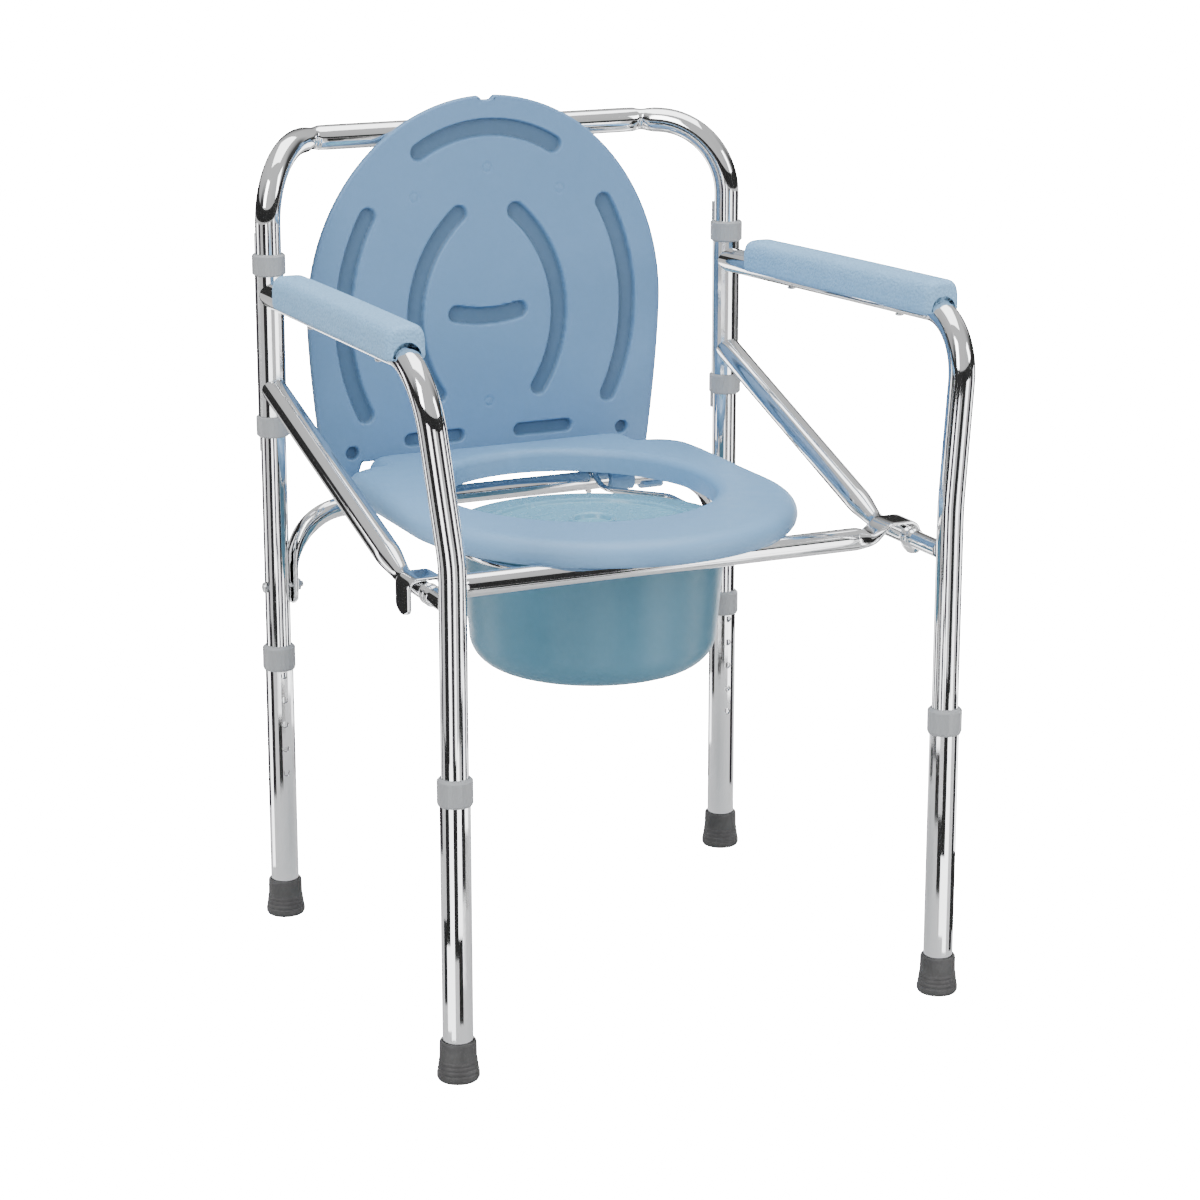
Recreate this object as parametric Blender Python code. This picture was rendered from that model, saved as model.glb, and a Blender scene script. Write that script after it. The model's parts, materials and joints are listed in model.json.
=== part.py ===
"""Folding commode chair: chromed tube frame, plastic seat with lid, pot with lid, four telescopic legs.

Metres, +Z up. +X is the sitter's left as seen from the front, -Y is the front, and the origin is on the floor
under the middle of the chair. Each object is one physical piece.
"""

import math

import bmesh
import bpy
from mathutils import Matrix, Vector

# Driving dimensions
GAP = 0.0003                 # clearance between pieces that touch
LEG_X = 0.247                # leg centres, left and right of the middle
FRONT_Y = -0.2583            # front leg centres
REAR_Y = FRONT_Y + 0.460     # rear post centres
TUBE_R = 0.0125              # frame tube
TUBE_WALL = 0.0015
OUTER_R = 0.0140             # leg extensions and pivot sleeves
BORE_R = TUBE_R + GAP

# Back frame
TUBE_FOOT_Z = 0.120          # lower end of the inner leg tubes
TOP_BAR_Z = 0.775
TOP_BAR_Y = REAR_Y + 0.0636
TOP_BAR_HALF = 0.179         # middle to the crease at each end of the top bar

# Pivot sleeves and their rings
SLEEVE_Z = (0.5171, 0.6546)
RING_R = 0.0163
RING_HEIGHT = 0.0205

# Side frames
ARM_REAR_Z = 0.636
ARM_FRONT = (0.2665, FRONT_Y + 0.0131, 0.650)
LEG_CREASE_Z = 0.476
BRACE_TOP_Z = 0.545
STUB_R = 0.0083
STUB_Z = 0.4335
STUB_X = 0.2420
BRACE_BEND_Y = FRONT_Y + 0.128

# Arm pads
PAD_Y = (FRONT_Y + 0.052, FRONT_Y + 0.396)
PAD_HALF_WIDTH = 0.0185

# Rear rail: the hinge line of the seat frame and of the lid
RAIL_R = 0.0098
RAIL_Y = REAR_Y - 0.002
RAIL_Z = 0.418
RAIL_BOLT_Z = 0.344

# Seat frame and seat
BAR_R = 0.011
BAR_Y = FRONT_Y + 0.0896
BAR_Z = 0.430
WIRE_R = 0.003
WIRE_Z = 0.4175
WIRE_ARC_R = 0.1365
SEAT_TOP = 0.461
SEAT_BOTTOM = 0.4375
SEAT_HALF = 0.190
OPENING = (0.133, 0.150)     # half width and half length of the seat's opening
OPENING_Y = FRONT_Y + 0.290

# Lid, standing open against the top bar
LID_FRONT = RAIL_Y + 0.0445
LID_THICK = 0.0080
LID_Z = (0.4305, 0.8105)
LID_WIDEST_Z = 0.595
LID_HALF = 0.1925
LID_RECESS_Z = 0.4500        # lower edge between the hinges, above the seat's rear strip

# Pot
POT_Y = FRONT_Y + 0.250
POT_Z = (0.295, 0.4238)
POT_WALL = 0.0025

# Legs
EXTENSION_Z = (0.0065, 0.2785)
COLLAR_Z = (0.2590, 0.2840)
HOLE_PITCH = 0.0254
BUTTON_Z = 0.1784
HOLES_BELOW, HOLES_ABOVE = 1, 3
HOLE_R = 0.0035
BUTTON_R = 0.0031
FOOT_HEIGHT = 0.038

SIDES = (("left", -1), ("right", 1))
CHROME = ("chrome", (0.78, 0.79, 0.80), 0.12, 1.0)
ZINC = ("zinc", (0.55, 0.56, 0.58), 0.35, 1.0)
LIGHT_BLUE = ("light_blue_plastic", (0.30, 0.46, 0.62), 0.45, 0.0)
PAD_BLUE = ("pad_blue", (0.38, 0.60, 0.78), 0.7, 0.0)
TEAL = ("teal_plastic", (0.20, 0.40, 0.48), 0.3, 0.0)
CLEAR_TEAL = ("clear_teal_plastic", (0.25, 0.48, 0.55), 0.2, 0.0)
LIGHT_GREY = ("light_grey_plastic", (0.50, 0.53, 0.54), 0.45, 0.0)
RUBBER = ("grey_rubber", (0.13, 0.13, 0.13), 0.75, 0.0)


def clear_scene():
    for item in list(bpy.data.objects):
        bpy.data.objects.remove(item)


def material(finish):
    """The named material of a finish, made once."""
    name, colour, roughness, metallic = finish
    made = bpy.data.materials.get(name)
    if made is None:
        made = bpy.data.materials.new(name)
        made.use_nodes = True
        shader = made.node_tree.nodes["Principled BSDF"]
        shader.inputs["Base Color"].default_value = (*colour, 1)
        shader.inputs["Roughness"].default_value = roughness
        shader.inputs["Metallic"].default_value = metallic
    return made


def finished(name, bm, finish, origin=(0, 0, 0), sharp=35):
    """Turns a bmesh into a named object, shaded smooth, with its origin where asked."""
    bmesh.ops.recalc_face_normals(bm, faces=bm.faces)
    mesh = bpy.data.meshes.new(name)
    bmesh.ops.translate(bm, vec=-Vector(origin), verts=bm.verts)
    bm.to_mesh(mesh)
    bm.free()
    mesh.shade_smooth()
    mesh.set_sharp_from_angle(angle=math.radians(sharp))
    made = bpy.data.objects.new(name, mesh)
    made.location = origin
    bpy.context.collection.objects.link(made)
    if finish:
        mesh.materials.append(material(finish))
    return made


def cut(target, cutter, operation="DIFFERENCE"):
    """Adds a Boolean by a cutter object, which is hidden."""
    change = target.modifiers.new(cutter.name, "BOOLEAN")
    change.operation = operation
    change.solver = "EXACT"
    change.object = cutter
    cutter.hide_render = True
    cutter.display_type = "WIRE"
    cutter.hide_set(True)


def cylinder(name, centre, axis, radius, length, sides=24, finish=None):
    """A closed cylinder about an axis through its centre."""
    bm = bmesh.new()
    turn = Vector(axis).to_track_quat("Z", "Y").to_matrix().to_4x4()
    place = Matrix.Translation(centre) @ turn
    bmesh.ops.create_cone(bm, cap_ends=True, segments=sides, radius1=radius, radius2=radius,
                          depth=length, matrix=place)
    return finished(name, bm, finish)


def turned(name, profile, centre, finish, sides=24):
    """A solid turned about +Z. The profile is a closed outline of (radius, height) points."""
    bm = bmesh.new()
    rings = []
    for radius, height in profile:
        if radius == 0:
            rings.append([bm.verts.new((0, 0, height))] * sides)
            continue
        turns = [2 * math.pi * k / sides for k in range(sides)]
        rings.append([bm.verts.new((radius * math.cos(t), radius * math.sin(t), height)) for t in turns])
    for lower, upper in zip(rings, rings[1:] + rings[:1]):
        for k in range(sides):
            corners = [lower[k], lower[(k + 1) % sides], upper[(k + 1) % sides], upper[k]]
            corners = list(dict.fromkeys(corners))
            if len(corners) > 2:
                bm.faces.new(corners)
    bmesh.ops.translate(bm, vec=Vector(centre), verts=bm.verts)
    return finished(name, bm, finish)


def rounded_path(corners, radii, step=math.radians(12)):
    """A polyline through the corners, with each inner corner replaced by an arc of its own radius."""
    corners = [Vector(c) for c in corners]
    path = [corners[0]]
    for before, corner, after, radius in zip(corners, corners[1:], corners[2:], radii):
        into, out = (corner - before).normalized(), (after - corner).normalized()
        turn = into.angle(out)
        reach = radius * math.tan(turn / 2)
        start = corner - into * reach
        inward = (out - into * into.dot(out)).normalized()
        centre = start + inward * radius
        count = max(2, math.ceil(turn / step))
        for k in range(count + 1):
            angle = turn * k / count
            path.append(centre - inward * radius * math.cos(angle) + into * radius * math.sin(angle))
    path.append(corners[-1])
    return path


def tangents(path):
    """Unit direction of a path at each of its points."""
    ends = [path[0]] + path + [path[-1]]
    return [(after - before).normalized() for before, after in zip(ends, ends[2:])]


def swept_rings(bm, path, sections, sides, first_side):
    """Rings of vertices square to a path. A section is (half width, half thickness, squareness)."""
    rings = []
    side = Vector(first_side)
    for point, forward, (wide, thick, power) in zip(path, tangents(path), sections):
        side = (side - forward * side.dot(forward)).normalized()
        up = forward.cross(side)
        ring = []
        for k in range(sides):
            turn = 2 * math.pi * (k + 0.5) / sides
            across = math.copysign(abs(math.cos(turn)) ** (2 / power), math.cos(turn))
            over = math.copysign(abs(math.sin(turn)) ** (2 / power), math.sin(turn))
            ring.append(bm.verts.new(point + side * wide * across + up * thick * over))
        rings.append(ring)
    return rings


def skin(bm, rings):
    for lower, upper in zip(rings, rings[1:]):
        count = len(lower)
        for k in range(count):
            bm.faces.new((lower[k], lower[(k + 1) % count], upper[(k + 1) % count], upper[k]))


def rod(name, path, sections, finish, sides=16, first_side=(1, 0, 0), origin=(0, 0, 0)):
    """A solid swept along a path, with flat ends."""
    bm = bmesh.new()
    rings = swept_rings(bm, path, sections, sides, first_side)
    skin(bm, rings)
    bm.faces.new(rings[0])
    bm.faces.new(rings[-1])
    return finished(name, bm, finish, origin)


def tube(name, path, radius, wall, finish, sides=16, origin=(0, 0, 0), closed_from=None):
    """A hollow round tube. closed_from gives the index of the ring where the bore ends, if it is blind."""
    bm = bmesh.new()
    outer = swept_rings(bm, path, [(radius, radius, 2)] * len(path), sides, (1, 0, 0))
    count = len(path) if closed_from is None else closed_from + 1
    inner_r = radius - wall
    inner = swept_rings(bm, path, [(inner_r, inner_r, 2)] * len(path), sides, (1, 0, 0))
    bmesh.ops.delete(bm, geom=[v for ring in inner[count:] for v in ring], context="VERTS")
    inner = inner[:count]
    skin(bm, outer)
    skin(bm, inner)
    for first, second in ((outer[0], inner[0]), (outer[-1], inner[-1])):
        if second is inner[-1] and closed_from is not None:
            bm.faces.new(outer[-1])
            bm.faces.new(inner[-1])
            continue
        for k in range(sides):
            after = (k + 1) % sides
            bm.faces.new((first[k], first[after], second[after], second[k]))
    return finished(name, bm, finish, origin)


def extruded(name, outline, start, along_axis, length, finish, u_axis, v_axis, origin=(0, 0, 0)):
    """A flat outline of (u, v) points, extruded."""
    bm = bmesh.new()
    u, v, w = Vector(u_axis), Vector(v_axis), Vector(along_axis)
    base = Vector(start)
    low = [bm.verts.new(base + u * a + v * b) for a, b in outline]
    high = [bm.verts.new(base + u * a + v * b + w * length) for a, b in outline]
    skin(bm, [low, high])
    bm.faces.new(low)
    bm.faces.new(high)
    return finished(name, bm, finish, origin)


def bolt(name, head_centre, axis, head_r, head_h, shank_r, shank_length, finish, sides=16):
    """A domed screw: its axis points out of the head, and the shank runs the other way."""
    dome = [(head_r * math.cos(t), head_h * (0.35 + 0.65 * math.sin(t)))
            for t in (math.radians(d) for d in (0, 30, 60))]
    profile = [(0, -shank_length), (shank_r, -shank_length), (shank_r, 0), (head_r, 0), *dome, (0, head_h)]
    made = turned(name, profile, (0, 0, 0), finish, sides)
    made.location = head_centre
    made.rotation_euler = Vector(axis).to_track_quat("Z", "Y").to_euler()
    return made


# ---------------------------------------------------------------- back frame


def make_back_frame():
    """The inverted U: two rear posts and the top bar, set back behind them, with the button holes."""
    corners = [(-LEG_X, REAR_Y, TUBE_FOOT_Z), (-LEG_X, REAR_Y, TOP_BAR_Z),
               (-TOP_BAR_HALF, TOP_BAR_Y, TOP_BAR_Z), (TOP_BAR_HALF, TOP_BAR_Y, TOP_BAR_Z),
               (LEG_X, REAR_Y, TOP_BAR_Z), (LEG_X, REAR_Y, TUBE_FOOT_Z)]
    path = rounded_path(corners, (0.072, 0.022, 0.022, 0.072))
    frame = tube("back_frame_tube", path, TUBE_R, TUBE_WALL, CHROME)
    for side, sign in SIDES:
        button_hole = cylinder(f"cut_back_{side}", (sign * LEG_X, REAR_Y - TUBE_R, BUTTON_Z), (0, 1, 0),
                               HOLE_R, 2 * TUBE_WALL * 2, 12)
        cut(frame, button_hole)
        bolt_hole = cylinder(f"cut_rail_bolt_{side}", (sign * LEG_X, REAR_Y - 0.002, RAIL_BOLT_Z), (1, 0, 0),
                             0.0033, 4 * TUBE_R, 12)
        cut(frame, bolt_hole)


def make_pivot_rings():
    """Light grey rings that keep each sleeve in place, each with a riveted tab behind the post."""
    tab_half, tab_thick, tab_length = 0.0085, 0.0040, 0.024
    for side, sign in SIDES:
        for level, low in (("upper", SLEEVE_Z[1] + GAP), ("lower", SLEEVE_Z[0] - GAP - RING_HEIGHT)):
            high = low + RING_HEIGHT
            soft = 0.0015
            outline = [(BORE_R, low), (RING_R - soft, low), (RING_R, low + soft), (RING_R, high - soft),
                       (RING_R - soft, high), (BORE_R, high)]
            ring = turned(f"pivot_ring_{level}_{side}", outline, (sign * LEG_X, REAR_Y, 0), LIGHT_GREY)
            away = 1 if level == "upper" else -1
            start_z = high - 0.006 if away > 0 else low + 0.006
            reach = away * tab_length
            outline = [(-tab_half, 0), (tab_half, 0), (tab_half, reach), (-tab_half, reach)]
            root = (sign * LEG_X, REAR_Y + BORE_R, start_z)
            tab = extruded(f"tab_{level}_{side}", outline, root, (0, 1, 0), tab_thick, None,
                           (1, 0, 0), (0, 0, 1))
            cut(ring, tab, "UNION")
            rivet_z = start_z + away * 0.017
            hole = cylinder(f"cut_rivet_{level}_{side}", (sign * LEG_X, REAR_Y + TUBE_R, rivet_z), (0, 1, 0),
                            0.0022, 0.02, 10)
            cut(ring, hole)
            bolt(f"ring_rivet_{level}_{side}", (sign * LEG_X, REAR_Y + BORE_R + tab_thick + GAP, rivet_z),
                 (0, 1, 0), 0.0035, 0.0018, 0.0018, tab_thick, ZINC, 12)


def make_rear_rail():
    """The arched rail between the posts. Its ends are pressed flat and bolted to the posts."""
    flat_x = LEG_X - TUBE_R - GAP - 0.0024
    half = rounded_path([(0, RAIL_Y, RAIL_Z), (flat_x, RAIL_Y, RAIL_Z), (flat_x, RAIL_Y, 0.326)], (0.057,))
    mirrored = [Vector((-p.x, p.y, p.z)) for p in half[:0:-1]]
    path = mirrored + half
    sections = []
    for point in path:
        pressed = min(1, max(0, (0.405 - point.z) / 0.036))
        wide = RAIL_R + pressed * 0.0048
        thick = RAIL_R + pressed * (0.0022 - RAIL_R)
        sections.append((wide, thick, 2 + 3 * pressed))
    rail = rod("rear_seat_rail", path, sections, CHROME, 16, (0, 1, 0))
    for side, sign in SIDES:
        place = (sign * flat_x, RAIL_Y, RAIL_BOLT_Z)
        hole = cylinder(f"cut_rail_end_{side}", place, (1, 0, 0), 0.0033, 0.03, 12)
        cut(rail, hole)
        outer = sign * (LEG_X + TUBE_R + GAP)
        inner = sign * (LEG_X - TUBE_R - GAP - 0.0048 - GAP)
        bolt(f"rail_bolt_{side}", (outer, RAIL_Y, RAIL_BOLT_Z), (sign, 0, 0), 0.0055, 0.0035, 0.0029,
             abs(outer - inner) + 0.008, ZINC)
        nut_r = 0.0062
        outline = [(nut_r * math.cos(math.radians(60 * k)), nut_r * math.sin(math.radians(60 * k)))
                   for k in range(6)]
        nut = extruded(f"rail_nut_{side}", outline, (inner, RAIL_Y, RAIL_BOLT_Z), (-sign, 0, 0), 0.005,
                       ZINC, (0, 1, 0), (0, 0, 1))
        thread = cylinder(f"cut_nut_{side}", (inner, RAIL_Y, RAIL_BOLT_Z), (1, 0, 0), 0.0032, 0.03, 16)
        cut(nut, thread)


# ---------------------------------------------------------------- side frames


def make_side_frames():
    """Each side frame swings on its rear post: sleeve, arm and front leg in one tube, and a brace."""
    for side, sign in SIDES:
        post = (sign * LEG_X, REAR_Y, 0)
        low, high = SLEEVE_Z
        outline = [(BORE_R, low), (OUTER_R, low), (OUTER_R, high), (BORE_R, high)]
        turned(f"pivot_sleeve_{side}", outline, post, CHROME, 24)

        path = arm_path(sign)
        arm = tube(f"arm_and_leg_tube_{side}", path, TUBE_R, TUBE_WALL, CHROME, closed_from=1)
        cut(arm, cylinder(f"cut_arm_{side}", (sign * LEG_X, REAR_Y, ARM_REAR_Z), (0, 0, 1),
                          OUTER_R + GAP, 0.08, 24))
        cut(arm, cylinder(f"cut_button_{side}", (sign * LEG_X, FRONT_Y + TUBE_R, BUTTON_Z), (0, 1, 0),
                          HOLE_R, 4 * TUBE_WALL, 12))
        make_brace(side, sign)


def arm_path(sign):
    """Centre line of a side frame's tube, from inside the leg extension up and back to the sleeve."""
    blind = (sign * LEG_X, FRONT_Y, 0.330)
    corners = [blind, (sign * LEG_X, FRONT_Y, LEG_CREASE_Z),
               (sign * ARM_FRONT[0], ARM_FRONT[1], ARM_FRONT[2]),
               (sign * LEG_X, REAR_Y - 0.004, ARM_REAR_Z)]
    return [Vector((sign * LEG_X, FRONT_Y, TUBE_FOOT_Z))] + rounded_path(corners, (0.180, 0.063))


def make_brace(side, sign):
    """The brace, drawn down at its lower end to the stub that the seat frame hooks over."""
    corners = [(sign * LEG_X, REAR_Y - 0.002, BRACE_TOP_Z), (sign * STUB_X, BRACE_BEND_Y, STUB_Z),
               (sign * (STUB_X + 0.001), FRONT_Y + 0.002, STUB_Z)]
    path = rounded_path(corners, (0.040,), math.radians(5))
    taper_from, taper_to = 0.040, 0.012
    sections = []
    for point in path:
        swaged = min(1, max(0, (BRACE_BEND_Y + taper_from - point.y) / (taper_from - taper_to + 0.012)))
        radius = TUBE_R + swaged * (STUB_R - TUBE_R)
        sections.append((radius, radius, 2))
    brace = rod(f"brace_tube_{side}", path, sections, CHROME, 16)
    cut(brace, cylinder(f"cut_brace_top_{side}", (sign * LEG_X, REAR_Y, BRACE_TOP_Z), (0, 0, 1),
                        OUTER_R + GAP, 0.09, 24))
    cut(brace, cylinder(f"cut_brace_foot_{side}", (sign * LEG_X, FRONT_Y, STUB_Z), (0, 0, 1),
                        TUBE_R + GAP, 0.0385, 24))


def arm_point(sign, y):
    """Centre of the arm tube at a distance along the chair."""
    share = (y - REAR_Y) / (ARM_FRONT[1] - REAR_Y)
    x = LEG_X + share * (ARM_FRONT[0] - LEG_X)
    z = ARM_REAR_Z + share * (ARM_FRONT[2] - ARM_REAR_Z)
    return Vector((sign * x, y, z))


def make_arm_pads():
    """A firm pad with a rounded top, hollowed below to sit on the arm tube, held by two screws."""
    for side, sign in SIDES:
        ends = [arm_point(sign, y) for y in PAD_Y]
        forward = (ends[1] - ends[0]).normalized()
        across = Vector((sign, 0, 0))
        across = (across - forward * across.dot(forward)).normalized()
        up = across.cross(forward) * sign
        low = -0.0035
        outline = []
        for degrees in (0, 30, 60, 90, 120, 150, 180):
            turn = math.radians(degrees)
            x = PAD_HALF_WIDTH * math.copysign(abs(math.cos(turn)) ** 0.55, math.cos(turn))
            outline.append((x, 0.006 + 0.0215 * abs(math.sin(turn)) ** 0.6))
        outline += [(-PAD_HALF_WIDTH + 0.001, low), (PAD_HALF_WIDTH - 0.001, low)]
        length = (ends[1] - ends[0]).length
        pad = extruded(f"arm_pad_{side}", outline, ends[0], forward, length, PAD_BLUE, across, up)
        path = arm_path(sign)
        room = TUBE_R + 2 * GAP
        cut(pad, rod(f"cut_pad_tube_{side}", path, [(room, room, 2)] * len(path), None))
        for place, share in (("front", 0.22), ("rear", 0.80)):
            centre = ends[0].lerp(ends[1], share)
            under = centre - up * (TUBE_R + GAP)
            bolt(f"arm_pad_screw_{place}_{side}", under, -up, 0.0045, 0.0025, 0.0020, 0.019, ZINC, 12)
            hole = cylinder(f"cut_pad_screw_{place}_{side}", under + up * 0.010, up, 0.0024, 0.026, 12)
            cut(bpy.data.objects[f"arm_and_leg_tube_{side}"], hole)
            cut(pad, hole)


# ---------------------------------------------------------------- legs


def make_legs():
    """Four leg extensions over the inner tubes, each with a collar, a rubber foot and a spring button."""
    corners = [("front", FRONT_Y, 1), ("rear", REAR_Y, -1)]
    for side, sign in SIDES:
        for end, y, facing in corners:
            x = sign * LEG_X
            name = f"{end}_{side}"
            outline = [(BORE_R, EXTENSION_Z[0]), (OUTER_R, EXTENSION_Z[0]), (OUTER_R, EXTENSION_Z[1]),
                       (BORE_R, EXTENSION_Z[1])]
            leg = turned(f"leg_extension_{name}", outline, (x, y, 0), CHROME, 24)
            for k in range(-HOLES_BELOW, HOLES_ABOVE + 1):
                place = (x, y + facing * (BORE_R + 0.0006), BUTTON_Z + k * HOLE_PITCH)
                cut(leg, cylinder(f"cut_leg_{name}_{k + HOLES_BELOW}", place, (0, 1, 0), HOLE_R, 0.006, 12))
            make_collar(name, x, y)
            make_foot(name, x, y)
            make_button(name, x, y, facing)


def make_collar(name, x, y):
    low, high = COLLAR_Z
    soft = 0.0025
    outline = [(OUTER_R + GAP, low), (RING_R - 0.001, low), (RING_R, low + soft), (RING_R, high - soft),
               (RING_R - soft, high), (BORE_R, high), (BORE_R, EXTENSION_Z[1] + GAP),
               (OUTER_R + GAP, EXTENSION_Z[1] + GAP)]
    turned(f"leg_collar_{name}", outline, (x, y, 0), LIGHT_GREY)


def make_foot(name, x, y):
    """A rubber cup, wider at the floor, with the tube's end standing inside it."""
    bore = OUTER_R + GAP
    floor = EXTENSION_Z[0] - GAP
    outline = [(0, 0), (0.0150, 0), (0.0182, 0.0012), (0.0195, 0.0042), (0.0193, 0.008),
               (0.0166, FOOT_HEIGHT - 0.002), (0.0158, FOOT_HEIGHT), (bore, FOOT_HEIGHT),
               (bore, floor), (0, floor)]
    turned(f"foot_{name}", outline, (x, y, 0), RUBBER)


def make_button(name, x, y, facing):
    """The spring button. It stands in the inner tube's hole and shows through the extension's."""
    inner, tip, dome = 0.0065, BORE_R - 0.0001, 0.0009
    outline = [(0, inner), (BUTTON_R, inner), (BUTTON_R, tip - dome),
               (BUTTON_R * 0.75, tip - dome * 0.35), (0, tip)]
    button = turned(f"leg_button_{name}", outline, (0, 0, 0), ZINC, 12)
    button.location = (x, y, BUTTON_Z)
    button.rotation_euler = Vector((0, facing, 0)).to_track_quat("Z", "Y").to_euler()


# ---------------------------------------------------------------- seat frame


def make_front_bar():
    """The front cross bar. Its ends are pressed flat and curled over the stubs of the side frames."""
    flat_w, flat_t = 0.0170, 0.0018
    over_z = STUB_Z + STUB_R + 0.0006 + flat_t
    tongue_x = STUB_X + STUB_R + 0.0055 + flat_t
    half = rounded_path([(0, BAR_Y, BAR_Z), (0.212, BAR_Y, BAR_Z), (0.228, BAR_Y, over_z),
                         (tongue_x, BAR_Y, over_z), (tongue_x, BAR_Y, 0.4105)],
                        (0.012, 0.010, 0.0095), math.radians(15))
    end = len(half) - 1
    half = half[:end] + [half[end - 1].lerp(half[end], share) for share in (0.5, 0.75, 0.92, 1.0)]
    mirrored = [Vector((-p.x, p.y, p.z)) for p in half[:0:-1]]
    path = mirrored + half
    sections = []
    for point in path:
        pressed = min(1, max(0, (abs(point.x) - 0.198) / 0.026))
        wide = BAR_R + pressed * (flat_w - BAR_R)
        thick = BAR_R + pressed * (flat_t - BAR_R)
        tip = max(0, (0.4185 - point.z) / 0.008) if abs(point.x) > 0.24 else 0
        wide *= math.sqrt(max(0.08, 1 - min(1, tip) ** 2))
        sections.append((wide, thick, 2 + 3 * pressed))
    rod("seat_front_bar", path, sections, CHROME, 16, (0, 1, 0))


def make_pot_wire():
    """A bent wire behind the front bar that carries the pot. Its ends turn into eyes round the rear rail."""
    arc_y = BAR_Y + BAR_R + GAP + WIRE_R + WIRE_ARC_R
    eye_x, eye_r = 0.093, RAIL_R + 2 * GAP + WIRE_R
    side = rounded_path([(WIRE_ARC_R, arc_y, WIRE_Z), (WIRE_ARC_R, RAIL_Y - 0.095, WIRE_Z),
                         (eye_x, RAIL_Y - 0.045, WIRE_Z), (eye_x, RAIL_Y - 0.028, WIRE_Z)], (0.02, 0.02))
    eye = []
    for degrees in range(150, -100, -25):
        turn = math.radians(degrees)
        eye.append(Vector((eye_x, RAIL_Y + eye_r * math.cos(turn), RAIL_Z + eye_r * math.sin(turn))))
    arc = []
    for degrees in range(-84, 1, 6):
        turn = math.radians(degrees)
        arc.append(Vector((WIRE_ARC_R * math.cos(turn), arc_y + WIRE_ARC_R * math.sin(turn), WIRE_Z)))
    half = [Vector((0, arc_y - WIRE_ARC_R, WIRE_Z))] + arc + side[1:] + eye
    mirrored = [Vector((-p.x, p.y, p.z)) for p in half[:0:-1]]
    path = mirrored + half
    rod("pot_wire", path, [(WIRE_R, WIRE_R, 2)] * len(path), CHROME, 8, (0, 0, 1))


def seat_outline():
    """Right half of the seat's edge, front to back, with the notch beside each lid hinge."""
    front_y, front_half = FRONT_Y + 0.242, 0.200
    edge = []
    for degrees in range(-90, 1, 6):
        turn = math.radians(degrees)
        edge.append((SEAT_HALF * math.cos(turn), front_y + front_half * math.sin(turn)))
    corner_y, corner_r, notch_y = REAR_Y - 0.052, 0.036, REAR_Y - 0.0145
    edge.append((SEAT_HALF - 0.001, corner_y - 0.02))
    for degrees in range(0, 91, 15):
        turn = math.radians(degrees)
        edge.append((SEAT_HALF - 0.003 - corner_r + corner_r * math.cos(turn),
                     notch_y - corner_r + corner_r * math.sin(turn)))
    strip_y = RAIL_Y + 0.031
    edge += [(0.1440, notch_y), (0.141, notch_y + 0.006), (0.140, strip_y - 0.010), (0.134, strip_y - 0.003),
             (0.124, strip_y), (0, strip_y)]
    return edge


def by_direction(edge, centre_y, directions):
    """Points of a half outline in given directions from the centre, for both halves."""
    found = []
    for turn in directions:
        mirror = -1 if math.cos(turn) < -1e-9 else 1
        ray = Vector((abs(math.cos(turn)), math.sin(turn)))
        best = None
        for a, b in zip(edge, edge[1:]):
            start, span = Vector((a[0], a[1] - centre_y)), Vector((b[0] - a[0], b[1] - a[1]))
            cross = ray.x * span.y - ray.y * span.x
            if abs(cross) < 1e-12:
                continue
            reach = (start.x * span.y - start.y * span.x) / cross
            share = (start.x * ray.y - start.y * ray.x) / cross
            if reach > 0 and -1e-6 <= share <= 1 + 1e-6:
                best = reach if best is None else max(best, reach)
        found.append((mirror * ray.x * best, centre_y + ray.y * best))
    return found


def make_seat():
    """The moulded seat: a crowned ring with a rolled outer edge, open below like a tray."""
    centre_y = OPENING_Y
    edge = seat_outline()
    even = {round(math.radians(d), 6) for d in range(-90, 91, 6)}
    corners = {round(math.atan2(y - centre_y, x), 6) for x, y in edge if y > REAR_Y - 0.03}
    right = sorted(t for t in even | corners if -math.pi / 2 < t < math.pi / 2)
    turns = [-math.pi / 2] + right + [math.pi / 2] + [math.pi - t for t in reversed(right)]
    outer = by_direction(edge, centre_y, turns)
    inner = by_direction_ellipse(turns, centre_y)

    def loop(bm, base, inset, z):
        ring = []
        for (x, y), turn in zip(base, turns):
            ring.append(bm.verts.new((x - inset * math.cos(turn), y - inset * math.sin(turn), z)))
        return ring

    wall, floor = 0.0105, SEAT_TOP - 0.006
    bm = bmesh.new()
    loops = [loop(bm, outer, inset, z) for inset, z in
             ((0.006, SEAT_BOTTOM), (0.0016, SEAT_BOTTOM + 0.003), (0, SEAT_BOTTOM + 0.0075),
              (0.002, SEAT_BOTTOM + 0.012), (0.0065, SEAT_BOTTOM + 0.0155), (0.014, SEAT_TOP - 0.001),
              (0.023, SEAT_TOP))]
    loops += [loop(bm, inner, -outset, z) for outset, z in
              ((0.010, SEAT_TOP), (0.0035, SEAT_TOP - 0.0025), (0.0, SEAT_TOP - 0.007), (0.0, SEAT_BOTTOM),
               (0.005, SEAT_BOTTOM), (0.006, floor))]
    loops += [loop(bm, outer, inset, z) for inset, z in ((wall + 0.007, floor), (wall, SEAT_BOTTOM + 0.009),
                                                         (wall, SEAT_BOTTOM))]
    skin(bm, loops + loops[:1])
    seat = finished("seat", bm, LIGHT_BLUE, sharp=50)
    cut(seat, cylinder("cut_seat_bar", (0, BAR_Y, BAR_Z), (1, 0, 0), BAR_R + 2 * GAP, 0.5, 20))
    for side, sign in SIDES:
        make_seat_clip(side, sign)


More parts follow.
